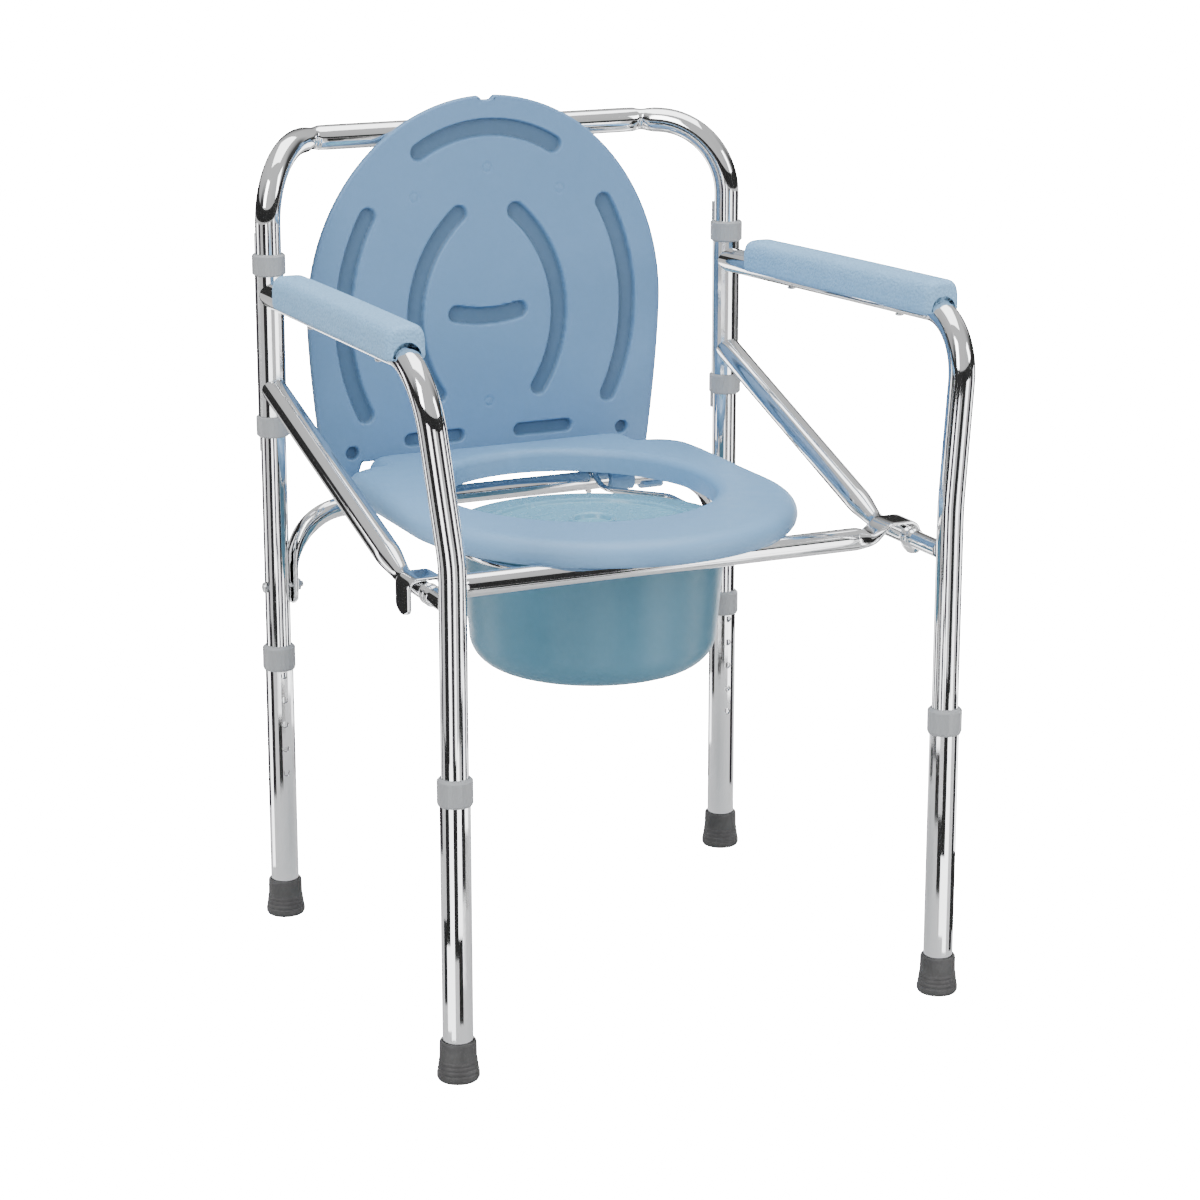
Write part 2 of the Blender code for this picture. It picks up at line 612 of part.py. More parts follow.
def by_direction_ellipse(turns, centre_y):
    """Points of the seat's opening in given directions from its centre."""
    wide, long = OPENING
    found = []
    for turn in turns:
        reach = 1 / math.hypot(math.cos(turn) / wide, math.sin(turn) / long)
        found.append((reach * math.cos(turn), centre_y + reach * math.sin(turn)))
    return found


def clip_outline(neck_reach, neck_half):
    """A C-shaped clip round the rail, open away from its neck. The neck runs along +v."""
    outer, inner = 0.0142, RAIL_R + GAP
    start = math.asin(neck_half / outer)
    outline = [(neck_half, neck_reach), (-neck_half, neck_reach)]
    for k in range(9):
        turn = math.pi / 2 + start + (math.radians(232) - math.pi / 2 - start) * k / 8
        outline.append((outer * math.cos(turn), outer * math.sin(turn)))
    for k in range(13):
        turn = math.radians(232 - 284 * k / 12)
        outline.append((inner * math.cos(turn), inner * math.sin(turn)))
    for k in range(9):
        turn = math.radians(-52) + (math.pi / 2 - start - math.radians(-52)) * k / 8
        outline.append((outer * math.cos(turn), outer * math.sin(turn)))
    return outline


def make_seat_clip(side, sign):
    """A clip under the seat that snaps round the rear rail, with its screw."""
    middle, half = 0.124, 0.013
    plate = SEAT_TOP - 0.006 - GAP - RAIL_Z
    outline = clip_outline(plate, 0.0090)
    extruded(f"seat_clip_{side}", outline, (sign * middle - half, RAIL_Y, RAIL_Z), (1, 0, 0), 2 * half,
             LIGHT_BLUE, (0, 1, 0), (0, 0, 1), (sign * middle, RAIL_Y, RAIL_Z))
    reach, wide, top = 0.0148, half + GAP, RAIL_Z + plate + 0.0001
    around = [(-wide, -reach), (wide, -reach), (wide, reach), (-wide, reach)]
    pocket = extruded(f"cut_seat_clip_{side}", around, (sign * middle, RAIL_Y, RAIL_Z), (0, 0, 1),
                      top - RAIL_Z, None, (1, 0, 0), (0, 1, 0))
    cut(bpy.data.objects["seat"], pocket)


def make_lid():
    """The lid, open: an oval panel with soft edges and recessed grooves on the face that closes down."""
    half = []
    for degrees in range(90, -1, -6):
        turn = math.radians(degrees)
        half.append((LID_HALF * math.cos(turn), LID_WIDEST_Z + (LID_Z[1] - LID_WIDEST_Z) * math.sin(turn)))
    for k in range(1, 6):
        share = k / 5
        z = LID_WIDEST_Z + share * (LID_Z[0] + 0.008 - LID_WIDEST_Z)
        half.append((LID_HALF - 0.0155 * share ** 1.5, z))
    half += [(LID_HALF - 0.018, LID_Z[0] + 0.002), (LID_HALF - 0.024, LID_Z[0])]
    half += [(0.1545, LID_Z[0]), (0.1500, LID_Z[0] + 0.004), (0.1480, LID_Z[0] + 0.017),
             (0.1440, LID_RECESS_Z)]
    outline = half + [(-x, z) for x, z in reversed(half[1:])]
    centre = Vector((0, 0.62))
    soft = 0.0025
    bm = bmesh.new()
    loops = []
    for depth, inset in ((0, soft), (soft, 0), (LID_THICK - soft, 0), (LID_THICK, soft)):
        ring = []
        for x, z in outline:
            inward = (centre - Vector((x, z))).normalized() * inset
            ring.append(bm.verts.new((x + inward.x, LID_FRONT + depth, z + inward.y)))
        loops.append(ring)
    skin(bm, loops)
    bm.faces.new(loops[0])
    bm.faces.new(loops[-1])
    lid = finished("lid", bm, LIGHT_BLUE, sharp=50)
    for cutter in groove_cutters():
        cut(lid, cutter)
    for side, sign in SIDES:
        place = (sign * 0.1508, LID_FRONT, 0.4583)
        cut(lid, cylinder(f"cut_lid_hole_{side}", place, (0, 1, 0), 0.0070, 0.012, 16))
        outline = clip_outline(LID_FRONT - GAP - RAIL_Y, 0.0080)
        extruded(f"lid_hinge_{side}", outline, (sign * 0.160 - 0.011, RAIL_Y, RAIL_Z), (1, 0, 0), 0.022,
                 LIGHT_BLUE, (0, 0, -1), (0, 1, 0), (sign * 0.160, RAIL_Y, RAIL_Z))


def arc_through(a, b, c, count):
    """Points of the circle arc from a through b to c, in the lid's plane."""
    (ax, az), (bx, bz), (cx, cz) = a, b, c
    d = 2 * (ax * (bz - cz) + bx * (cz - az) + cx * (az - bz))
    a2, b2, c2 = ax * ax + az * az, bx * bx + bz * bz, cx * cx + cz * cz
    ux = (a2 * (bz - cz) + b2 * (cz - az) + c2 * (az - bz)) / d
    uz = (a2 * (cx - bx) + b2 * (ax - cx) + c2 * (bx - ax)) / d
    radius = math.hypot(ax - ux, az - uz)
    first, middle, last = (math.atan2(z - uz, x - ux) for x, z in (a, b, c))
    while middle - first > math.pi:
        middle -= 2 * math.pi
    while middle - first < -math.pi:
        middle += 2 * math.pi
    while last - middle > math.pi:
        last -= 2 * math.pi
    while last - middle < -math.pi:
        last += 2 * math.pi
    turns = [first + (last - first) * k / count for k in range(count + 1)]
    return [(ux + radius * math.cos(t), uz + radius * math.sin(t)) for t in turns]


def groove_cutters():
    """Flat bars with round ends, laid along the lid's face, that leave its recessed grooves."""
    half_width, depth = 0.0100, 0.0052
    runs = {"top": arc_through((-0.0733, 0.7596), (0, 0.7805), (0.0733, 0.7596), 12),
            "middle": arc_through((-0.0343, 0.5922), (0, 0.5880), (0.0343, 0.5922), 5)}
    for side, sign in SIDES:
        runs[f"outer_{side}"] = arc_through((sign * 0.1300, 0.6977), (sign * 0.1572, 0.598),
                                            (sign * 0.1354, 0.4964), 12)
        runs[f"inner_{side}"] = arc_through((sign * 0.0314, 0.6944), (sign * 0.0792, 0.598),
                                            (sign * 0.0565, 0.510), 12)
        runs[f"foot_{side}"] = [(sign * x, 0.4660) for x in (0.036, 0.050, 0.064, 0.078, 0.086)]
    cutters = []
    for name, run in runs.items():
        points = [Vector((x, LID_FRONT, z)) for x, z in run]
        wide = 0.0075 if name.startswith("foot") else half_width
        first, last = (points[0] - points[1]).normalized(), (points[-1] - points[-2]).normalized()
        caps = [(0.40, 0.92), (0.75, 0.66), (0.95, 0.30)]
        path = [points[0] + first * wide * c for c, _ in reversed(caps)] + points
        path += [points[-1] + last * wide * c for c, _ in caps]
        widths = [wide * r for _, r in reversed(caps)] + [wide] * len(points) + [wide * r for _, r in caps]
        cutters.append(rod(f"cut_groove_{name}", path, [(depth, w, 5) for w in widths], None, 16, (0, 1, 0)))
    return cutters


def make_pot():
    """The pot hangs by its flange on the wire, and a lid with a knob sits on it."""
    low, high = POT_Z
    rim, flange, side, corner = 0.1285, 0.1425, 0.1195, 0.030

    def rounded(inset):
        """The bowl's lower corner, from its floor to its side."""
        reach = corner - inset
        centre_r, centre_z = side - corner, low + corner
        turns = [math.radians(d) for d in range(0, 91, 18)]
        return [(centre_r + reach * math.sin(t), centre_z - reach * math.cos(t)) for t in turns]

    outline = [(0, low), *rounded(0), (rim, high - 0.003), (flange, high - 0.003), (flange, high),
               (rim - POT_WALL, high), *reversed(rounded(POT_WALL)), (0, low + POT_WALL)]
    turned("pot", outline, (0, POT_Y, 0), TEAL, 40)
    base = high + GAP
    plug = rim - POT_WALL - 0.0012
    top = base + 0.002
    ridge = [(0.106, top), (0.104, top + 0.0035), (0.100, top + 0.0035), (0.098, top)]
    knob = [(0.0225, top), (0.0225, top + 0.0085), (0.0207, top + 0.0100), (0.0180, top + 0.0085),
            (0.0165, top + 0.0040), (0, top + 0.0040)]
    outline = [(0, base), (plug - 0.002, base), (plug - 0.002, base - 0.005), (plug, base - 0.005),
               (plug, base), (0.1385, base), (0.1390, base + 0.001), (0.1385, top), *ridge, *knob]
    turned("pot_lid", outline, (0, POT_Y, 0), CLEAR_TEAL, 36)


clear_scene()
make_back_frame()
make_pivot_rings()
make_rear_rail()
make_side_frames()
make_arm_pads()
make_legs()
make_front_bar()
make_pot_wire()
make_seat()
make_lid()
make_pot()
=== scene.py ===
"""Looks of the folding commode chair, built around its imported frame.

Metres, +Z up, the front of the chair faces -Y. The frame's sleeves, leg extensions, clips, rings and
fastenings keep their shapes and get better materials. The bent tubes, bars, wire, arm pads, seat, lid, pot
and feet are rebuilt here as finer meshes in the same places.
"""

import json
import math

import bmesh
import bpy
import numpy as np
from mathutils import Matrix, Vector


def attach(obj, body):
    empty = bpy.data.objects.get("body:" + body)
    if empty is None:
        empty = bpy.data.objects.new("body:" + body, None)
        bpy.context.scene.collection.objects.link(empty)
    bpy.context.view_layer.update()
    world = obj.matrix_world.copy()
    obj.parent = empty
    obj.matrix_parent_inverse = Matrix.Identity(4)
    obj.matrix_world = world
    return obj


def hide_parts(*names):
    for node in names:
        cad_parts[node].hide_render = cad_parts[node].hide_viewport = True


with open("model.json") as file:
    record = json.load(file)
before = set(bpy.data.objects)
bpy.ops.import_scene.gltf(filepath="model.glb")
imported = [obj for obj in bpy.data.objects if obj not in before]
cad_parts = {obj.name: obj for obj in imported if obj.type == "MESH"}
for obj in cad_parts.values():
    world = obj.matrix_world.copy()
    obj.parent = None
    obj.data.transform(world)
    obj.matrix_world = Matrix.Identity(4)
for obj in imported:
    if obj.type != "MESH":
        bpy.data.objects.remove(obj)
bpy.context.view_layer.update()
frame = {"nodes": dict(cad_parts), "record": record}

SIDES = (("left", -1), ("right", 1))
ENDS = ("front", "rear")

# Driving dimensions, the frame's own
LEG_X = 0.247
FRONT_Y = -0.2583
REAR_Y = FRONT_Y + 0.460
TUBE_R = 0.0125
GAP = 0.0003
TUBE_FOOT_Z = 0.120
TOP_BAR_Z = 0.775
TOP_BAR_Y = REAR_Y + 0.0636
TOP_BAR_HALF = 0.179
ARM_REAR_Z = 0.636
ARM_FRONT = (0.2665, FRONT_Y + 0.0131, 0.650)
LEG_CREASE_Z = 0.476
BRACE_TOP_Z = 0.545
STUB_R = 0.0083
STUB_Z = 0.4335
STUB_X = 0.2420
BRACE_BEND_Y = FRONT_Y + 0.128
CRIMPS = (0.0560, 0.0655)         # rings pressed into the stub, ahead of the front leg
PAD_Y = (FRONT_Y + 0.052, FRONT_Y + 0.396)
PAD_HALF_WIDTH = 0.0185
RAIL_R = 0.0098
RAIL_Y = REAR_Y - 0.002
RAIL_Z = 0.418
BAR_R = 0.011
BAR_Y = FRONT_Y + 0.0896
BAR_Z = 0.430
WIRE_R = 0.003
WIRE_Z = 0.4175
WIRE_ARC_R = 0.1365
SEAT_TOP = 0.461
SEAT_BOTTOM = 0.4375
SEAT_HALF = 0.190
OPENING = (0.133, 0.150)
OPENING_Y = FRONT_Y + 0.290
LID_FRONT = RAIL_Y + 0.0445
LID_THICK = 0.0080
LID_Z = (0.4305, 0.8105)
LID_WIDEST_Z = 0.595
LID_HALF = 0.1925
LID_RECESS = (0.144, 0.0195)      # half width and height of the step in its lower edge
GROOVE_DEPTH = 0.0052
GROOVE_HALF = 0.0100
GROOVE_WALL = 0.0024              # width of a groove's sloping side
LID_HOLES = (0.1508, 0.4583)      # screw holes, left and right of the middle, and their height
LID_MARKS = ((0, 0.740), (-0.080, 0.7143), (0.080, 0.7143), (0, 0.499))
LID_MARK_R = 0.0045
POT_Y = FRONT_Y + 0.250
POT_Z = (0.295, 0.4238)
POT_WALL = 0.0025
FOOT_HEIGHT = 0.038
FOOT_FLOOR_Z = 0.0062
FOOT_BORE_R = 0.0143

BEND_STEP = math.radians(4)        # finest turn between two points of a bent tube

FLOOR_GLOW = 24.0
BOUNCE_GLOW = 0.22
FLOOR_RADIUS = 40

# Cards for the reflections: bearing from +X and width of each in degrees, and rows of radius and height
DARK_BEARINGS = ((-170, 24), (-128, 12), (-88, 18), (-40, 15), (-5, 28), (62, 22), (118, 18), (158, 12))
BRIGHT_BEARINGS = ((-144, 13), (-112, 9), (-66, 14), (-22, 10), (30, 16), (88, 14), (140, 10))
CARD_ROWS = (("outer", 1.15, 0.0, 0.62), ("inner", 0.66, 0.0, 0.20), ("near", 0.47, 0.0, 0.085))
CARD_GLOW = 3.5

# Camera: where it stands, where it looks, and its lens
CAMERA_PLACE = (-1.2844, -2.8105, 1.2046)
CAMERA_TURN = -24.757
CAMERA_TILT = -15.438
CAMERA_LENS = 99.56


# ---------------------------------------------------------------- materials


class Shader:
    """A material's node tree, with short calls for the nodes used here."""

    def __init__(self, name, roughness=0.5, metallic=0.0):
        self.material = bpy.data.materials.new(name)
        self.material.use_nodes = True
        self.tree = self.material.node_tree
        self.surface = self.tree.nodes["Principled BSDF"]
        self.surface.inputs["Roughness"].default_value = roughness
        self.surface.inputs["Metallic"].default_value = metallic
        coordinates = self.tree.nodes.new("ShaderNodeTexCoord")
        self.place = coordinates.outputs["Object"]
        self.way = coordinates.outputs["Normal"]

    def node(self, kind, **inputs):
        """A new node with its inputs set or linked. An underscore stands for a space in an input's name."""
        made = self.tree.nodes.new(kind)
        for name, value in inputs.items():
            self.put(made.inputs[name.replace("_", " ")], value)
        return made

    def put(self, socket, value):
        """Links a socket's value, or sets a plain one."""
        if isinstance(value, bpy.types.NodeSocket):
            self.tree.links.new(value, socket)
        else:
            socket.default_value = value

    def parts(self, vector):
        """A vector's X, Y and Z."""
        return self.node("ShaderNodeSeparateXYZ", Vector=vector).outputs

    def stretched(self, scale):
        return self.node("ShaderNodeMapping", Vector=self.place, Scale=scale).outputs["Vector"]

    def noise(self, scale, detail=3.0, roughness=0.55, stretch=(1, 1, 1)):
        made = self.node("ShaderNodeTexNoise", Vector=self.stretched(stretch), Scale=scale, Detail=detail,
                         Roughness=roughness)
        return made.outputs["Fac"]

    def spread(self, value, low, high, to_low=0.0, to_high=1.0):
        """Value, remapped from one range to another."""
        made = self.node("ShaderNodeMapRange", Value=value)
        for name, number in zip(("From Min", "From Max", "To Min", "To Max"), (low, high, to_low, to_high)):
            made.inputs[name].default_value = number
        return made.outputs["Result"]

    def mixed(self, share, first, second):
        made = self.tree.nodes.new("ShaderNodeMix")
        made.data_type = "RGBA"
        self.put(made.inputs[0], share)
        self.put(made.inputs[6], first)
        self.put(made.inputs[7], second)
        return made.outputs[2]

    def bump(self, height, distance, strength=1.0, after=None):
        """A normal bent by a height in metres, on top of an earlier bump where one is given."""
        made = self.node("ShaderNodeBump", Height=height, Distance=distance, Strength=strength)
        if after is not None:
            self.put(made.inputs["Normal"], after)
        return made.outputs["Normal"]

    def finish(self, **inputs):
        """Sets the surface's inputs and returns the finished material."""
        for name, value in inputs.items():
            self.put(self.surface.inputs[name.replace("_", " ")], value)
        return self.material


def chrome():
    """Polished plate: a clear mirror, faintly uneven, with a haze of fine wiping marks."""
    s = Shader("chrome_plate", metallic=1.0)
    haze = s.spread(s.noise(38, 4, 0.6), 0.35, 0.75, 0.035, 0.085)
    marks = s.spread(s.noise(900, 2, 0.5, (1, 1, 0.12)), 0.4, 0.8, 0.0, 0.03)
    total = s.node("ShaderNodeMath", Value=haze)
    s.put(total.inputs[1], marks)
    tone = s.mixed(s.noise(7, 2), (0.80, 0.81, 0.825, 1), (0.86, 0.865, 0.87, 1))
    uneven = s.bump(s.noise(24, 2, 0.4), 0.0004, 0.25)
    fine = s.bump(s.noise(1600, 2), 0.00004, 0.12, uneven)
    return s.finish(Base_Color=tone, Roughness=total.outputs[0], Normal=fine)


def zinc():
    """Bright zinc plate, duller than the chrome, with a cloudy grain."""
    s = Shader("zinc_plate", metallic=1.0)
    tone = s.mixed(s.noise(420, 3), (0.42, 0.43, 0.45, 1), (0.66, 0.67, 0.68, 1))
    grain = s.bump(s.noise(2200, 3), 0.00008, 0.4)
    return s.finish(Base_Color=tone, Roughness=s.spread(s.noise(700, 3), 0.3, 0.7, 0.22, 0.42), Normal=grain)


def scaled(colour, factor):
    """A colour made paler or deeper, its alpha kept at 1."""
    return tuple(min(1, c * factor) for c in colour[:3]) + (1,)


def groove_floor_shade(s, face_y):
    """Share of a surface that is sunk behind a face at face_y and looks forward, as groove floors do: the
    mask for the shade painted into the lid's grooves.
    """
    sunk = s.spread(s.parts(s.place)["Y"], face_y + 0.0004, face_y + GROOVE_DEPTH, 0.0, 0.80)
    forward = s.spread(s.parts(s.way)["Y"], 0.3, -0.1)
    share = s.node("ShaderNodeMath")
    share.operation = "MULTIPLY"
    s.put(share.inputs[0], sunk)
    s.put(share.inputs[1], forward)
    return share.outputs[0]


def moulded(name, colour, deep, roughness, shade_grooves_behind=None):
    """Injection-moulded plastic: soft flow clouding, fine spark texture, and slightly paler worn corners.

    Where a Y for the grooves is given, the floors of grooves sunk behind it get painted shade: a much deeper
    tone that stands in for the shadow in the grooves.
    """
    s = Shader(name)
    clouded = s.mixed(s.spread(s.noise(9, 3), 0.3, 0.7), deep, colour)
    speckle = s.spread(s.noise(1500, 2), 0.35, 0.65, 0.0, 0.16)
    specks = s.mixed(speckle, clouded, tuple(c * 1.12 for c in colour))
    corner = s.node("ShaderNodeNewGeometry").outputs["Pointiness"]
    tone = s.mixed(s.spread(corner, 0.52, 0.60, 0.0, 0.22), specks, scaled(colour, 1.25))
    # Painted shade: the lid's groove floors are darkened towards the deep tone, in place of the shadow that
    # falls in the grooves.
    if shade_grooves_behind is not None:
        tone = s.mixed(groove_floor_shade(s, shade_grooves_behind), tone, scaled(deep, 0.42))
    polish = s.spread(s.noise(60, 4), 0.3, 0.7, roughness - 0.05, roughness + 0.06)
    spark = s.bump(s.noise(1300, 3, 0.6), 0.00012, 0.35)
    swell = s.bump(s.noise(16, 2), 0.0005, 0.12, spark)
    return s.finish(Base_Color=tone, Roughness=polish, Normal=swell, Specular_IOR_Level=0.4)


def leather_grain():
    """Skin of the foam arm pads: rounded pebbles with fine creases, matt on top and darker in the creases."""
    s = Shader("pad_skin")
    warped = s.node("ShaderNodeTexNoise", Vector=s.place, Scale=120.0, Detail=2.0)
    moved = s.node("ShaderNodeVectorMath")
    moved.operation = "MULTIPLY_ADD"
    s.put(moved.inputs[0], warped.outputs["Color"])
    moved.inputs[1].default_value = (0.0035, 0.0035, 0.0035)
    s.put(moved.inputs[2], s.place)
    pebbles = s.node("ShaderNodeTexVoronoi", Vector=moved.outputs[0], Scale=430.0)
    pebbles.feature = "SMOOTH_F1"
    pebbles.inputs["Smoothness"].default_value = 0.45
    height = s.spread(pebbles.outputs["Distance"], 0.15, 0.75, 1.0, 0.0)
    fine = s.noise(2400, 2)
    base = s.mixed(s.spread(s.noise(14, 3), 0.3, 0.7), (0.270, 0.520, 0.800, 1), (0.295, 0.550, 0.840, 1))
    tone = s.mixed(s.spread(height, 0.0, 0.55, 0.30, 0.0), base, (0.150, 0.330, 0.560, 1))
    grain = s.bump(height, 0.00060, 1.0)
    skin = s.bump(fine, 0.00006, 0.4, grain)
    return s.finish(Base_Color=tone, Roughness=s.spread(height, 0.0, 1.0, 0.72, 0.52), Normal=skin)


def pot_plastic(name, colour, roughness):
    """Glossy polypropylene that lets a little light through."""
    s = Shader(name)
    tone = s.mixed(s.spread(s.noise(12, 3), 0.3, 0.7), colour, tuple(c * 0.93 for c in colour))
    ripple = s.bump(s.noise(22, 2), 0.0006, 0.18)
    grain = s.bump(s.noise(1100, 2), 0.00004, 0.25, ripple)
    polish = s.spread(s.noise(80, 3), 0.3, 0.7, roughness, roughness + 0.08)
    return s.finish(Base_Color=tone, Roughness=polish, Normal=grain, Subsurface_Weight=0.18,
                    Subsurface_Radius=(0.004, 0.006, 0.007), Subsurface_Scale=1.0)


def rubber():
    """Moulded rubber, matt, dusted paler where it rubs."""
    s = Shader("foot_rubber")
    tone = s.mixed(s.spread(s.noise(55, 4), 0.35, 0.7), (0.040, 0.040, 0.041, 1), (0.062, 0.062, 0.063, 1))
    corner = s.node("ShaderNodeNewGeometry").outputs["Pointiness"]
    worn = s.mixed(s.spread(corner, 0.52, 0.62, 0.0, 0.4), tone, (0.085, 0.085, 0.087, 1))
    grain = s.bump(s.noise(1500, 3), 0.0002, 0.5)
    return s.finish(Base_Color=worn, Roughness=s.spread(s.noise(140, 3), 0.3, 0.7, 0.55, 0.72), Normal=grain)


def make_materials():
    """One finished material for each of the record's slots, and one more for the grooved lid, with painted
    shade on its groove floors.
    """
    seat_blue, seat_deep = (0.190, 0.375, 0.610, 1), (0.178, 0.355, 0.585, 1)
    lid_blue, lid_deep = (0.160, 0.312, 0.530, 1), (0.149, 0.295, 0.505, 1)
    grey, grey_deep = (0.350, 0.365, 0.380, 1), (0.320, 0.335, 0.350, 1)
    return {
        "chrome": chrome(),
        "zinc": zinc(),
        "light_blue_plastic": moulded("light_blue_moulding", seat_blue, seat_deep, 0.44),
        "lid_moulding": moulded("lid_blue_moulding_groove_shade", lid_blue, lid_deep, 0.44, LID_FRONT),
        "pad_blue": leather_grain(),
        "teal_plastic": pot_plastic("teal_moulding", (0.082, 0.250, 0.370, 1), 0.37),
        "clear_teal_plastic": pot_plastic("clear_teal_moulding", (0.190, 0.445, 0.600, 1), 0.22),
        "light_grey_plastic": moulded("light_grey_moulding", grey, grey_deep, 0.42),
        "grey_rubber": rubber(),
    }


def paint_nodes(materials):
    """Gives every node of the frame the finished material of its slot."""
    slots = {part["node"]: part["material_slot"] for part in frame["record"]["subparts"]}
    for name, node in frame["nodes"].items():
        node.data.materials.clear()
        node.data.materials.append(materials[slots[name]])


# ---------------------------------------------------------------- sweeps and turnings


def rounded_path(corners, radii):
    """A polyline through the corners, with each inner corner replaced by an arc of its own radius."""
    corners = [Vector(c) for c in corners]
    path = [corners[0]]
    for before, corner, after, radius in zip(corners, corners[1:], corners[2:], radii):
        into, out = (corner - before).normalized(), (after - corner).normalized()
        turn = into.angle(out)
        reach = radius * math.tan(turn / 2)
        start = corner - into * reach
        inward = (out - into * into.dot(out)).normalized()
        centre = start + inward * radius
        count = max(2, math.ceil(turn / BEND_STEP))
        for k in range(count + 1):
            angle = turn * k / count
            path.append(centre - inward * radius * math.cos(angle) + into * radius * math.sin(angle))
    path.append(corners[-1])
    return path


def tangents(path):
    """Unit direction of a path at each of its points."""
    ends = [path[0]] + path + [path[-1]]
    return [(after - before).normalized() for before, after in zip(ends, ends[2:])]


def swept_rings(bm, path, sections, sides, first_side):
    """Rings of vertices square to a path. A section is (half width, half thickness, squareness)."""
    rings = []
    side = Vector(first_side)
    for point, forward, (wide, thick, power) in zip(path, tangents(path), sections):
        side = (side - forward * side.dot(forward)).normalized()
        up = forward.cross(side)
        ring = []
        for k in range(sides):
            turn = 2 * math.pi * (k + 0.5) / sides
            across = math.copysign(abs(math.cos(turn)) ** (2 / power), math.cos(turn))
            over = math.copysign(abs(math.sin(turn)) ** (2 / power), math.sin(turn))
            ring.append(bm.verts.new(point + side * wide * across + up * thick * over))
        rings.append(ring)
    return rings


def skin(bm, rings):
    """Faces between each ring of vertices and the next."""
    for lower, upper in zip(rings, rings[1:]):
        count = len(lower)
        for k in range(count):
            bm.faces.new((lower[k], lower[(k + 1) % count], upper[(k + 1) % count], upper[k]))


def piece(name, bm, body, slot, nodes, sharp=40, finish=None):
    """Turns a bmesh into a smooth-shaded piece that rides on a body and stands for CAD nodes."""
    bmesh.ops.recalc_face_normals(bm, faces=bm.faces)
    mesh = bpy.data.meshes.new(name)
    bm.to_mesh(mesh)
    bm.free()
    mesh.shade_smooth()
    mesh.set_sharp_from_angle(angle=math.radians(sharp))
    mesh.materials.append(materials[finish or slot])
    made = bpy.data.objects.new(name, mesh)
    bpy.context.collection.objects.link(made)
    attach(made, body)
    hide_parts(*nodes)
    return made


def fine_rod(node, body, path, sections, sides=48, first_side=(1, 0, 0)):
    """A solid sweep with flat ends, in the place of a CAD node."""
    bm = bmesh.new()
    rings = swept_rings(bm, path, sections, sides, first_side)
    skin(bm, rings)
    bm.faces.new(rings[0])
    bm.faces.new(rings[-1])
    return piece(f"{node}_fine", bm, body, "chrome", [node])


def turned(name, profile, centre, body, slot, nodes, sides):
    """A profile of (radius, z) points turned about a vertical line. It starts and ends on the line."""
    bm = bmesh.new()
    rings = []
    for radius, z in profile:
        if radius == 0:
            rings.append([bm.verts.new((centre[0], centre[1], z))] * sides)
            continue
        turns = [2 * math.pi * k / sides for k in range(sides)]
        rings.append([bm.verts.new((centre[0] + radius * math.cos(t), centre[1] + radius * math.sin(t), z))
                      for t in turns])
    for lower, upper in zip(rings, rings[1:]):
        for k in range(sides):
            after = (k + 1) % sides
            corners = list(dict.fromkeys((lower[k], lower[after], upper[after], upper[k])))
            if len(corners) > 2:
                bm.faces.new(corners)
    return piece(name, bm, body, slot, nodes)


def fillet(points, radius, count=5):
    """Rounds the inner corners of an open profile of (r, z) points."""
    rounded = [points[0]]
    for before, corner, after in zip(points, points[1:], points[2:]):
        a, b, c = Vector(before), Vector(corner), Vector(after)
        reach = min(radius, (a - b).length * 0.45, (c - b).length * 0.45)
        start, end = b + (a - b).normalized() * reach, b + (c - b).normalized() * reach
        for k in range(count + 1):
            t = k / count
            at = start * (1 - t) ** 2 + b * 2 * t * (1 - t) + end * t ** 2
            rounded.append((at.x, at.y))
    rounded.append(points[-1])
    return rounded


def eased(value):
    """A smooth step from 0 to 1."""
    value = min(1, max(0, value))
    return value * value * (3 - 2 * value)


def dense(path, longest=0.012):
    """The path with points added so that no stretch is longer than a given length."""
    filled = [path[0]]
    for a, b in zip(path, path[1:]):
        count = max(1, math.ceil((b - a).length / longest))
        filled += [a.lerp(b, k / count) for k in range(1, count + 1)]
    return filled


# ---------------------------------------------------------------- tubes


def make_back_frame():
    """The posts and top bar in one bent tube, a little crushed where it turns into the top bar."""
    corners = [(-LEG_X, REAR_Y, TUBE_FOOT_Z), (-LEG_X, REAR_Y, TOP_BAR_Z),
               (-TOP_BAR_HALF, TOP_BAR_Y, TOP_BAR_Z), (TOP_BAR_HALF, TOP_BAR_Y, TOP_BAR_Z),
               (LEG_X, REAR_Y, TOP_BAR_Z), (LEG_X, REAR_Y, TUBE_FOOT_Z)]
    crease_run, crease_depth = 0.011, 0.0026
    path = dense(rounded_path(corners, (0.072, 0.022, 0.022, 0.072)))
    sections = []
    for point in path:
        on_bar = point.z > TOP_BAR_Z - 0.01
        nearness = 1 - abs(abs(point.x) - TOP_BAR_HALF) / crease_run
        crushed = crease_depth * eased(nearness) if on_bar else 0
        sections.append((TUBE_R - crushed, TUBE_R - crushed * 0.2, 2))
    fine_rod("back_frame_tube", "back_frame", path, sections)


def arm_path(sign):
    """Centre line of a side frame's tube, from inside the leg extension up and back to the sleeve."""
    blind = (sign * LEG_X, FRONT_Y, 0.330)
    corners = [blind, (sign * LEG_X, FRONT_Y, LEG_CREASE_Z),
               (sign * ARM_FRONT[0], ARM_FRONT[1], ARM_FRONT[2]),
               (sign * LEG_X, REAR_Y - 0.004, ARM_REAR_Z)]
    return [Vector((sign * LEG_X, FRONT_Y, TUBE_FOOT_Z))] + rounded_path(corners, (0.180, 0.063))


def arm_point(sign, y):
    """Centre of the arm tube at a distance along the chair."""
    share = (y - REAR_Y) / (ARM_FRONT[1] - REAR_Y)
    x = LEG_X + share * (ARM_FRONT[0] - LEG_X)
    z = ARM_REAR_Z + share * (ARM_FRONT[2] - ARM_REAR_Z)
    return Vector((sign * x, y, z))


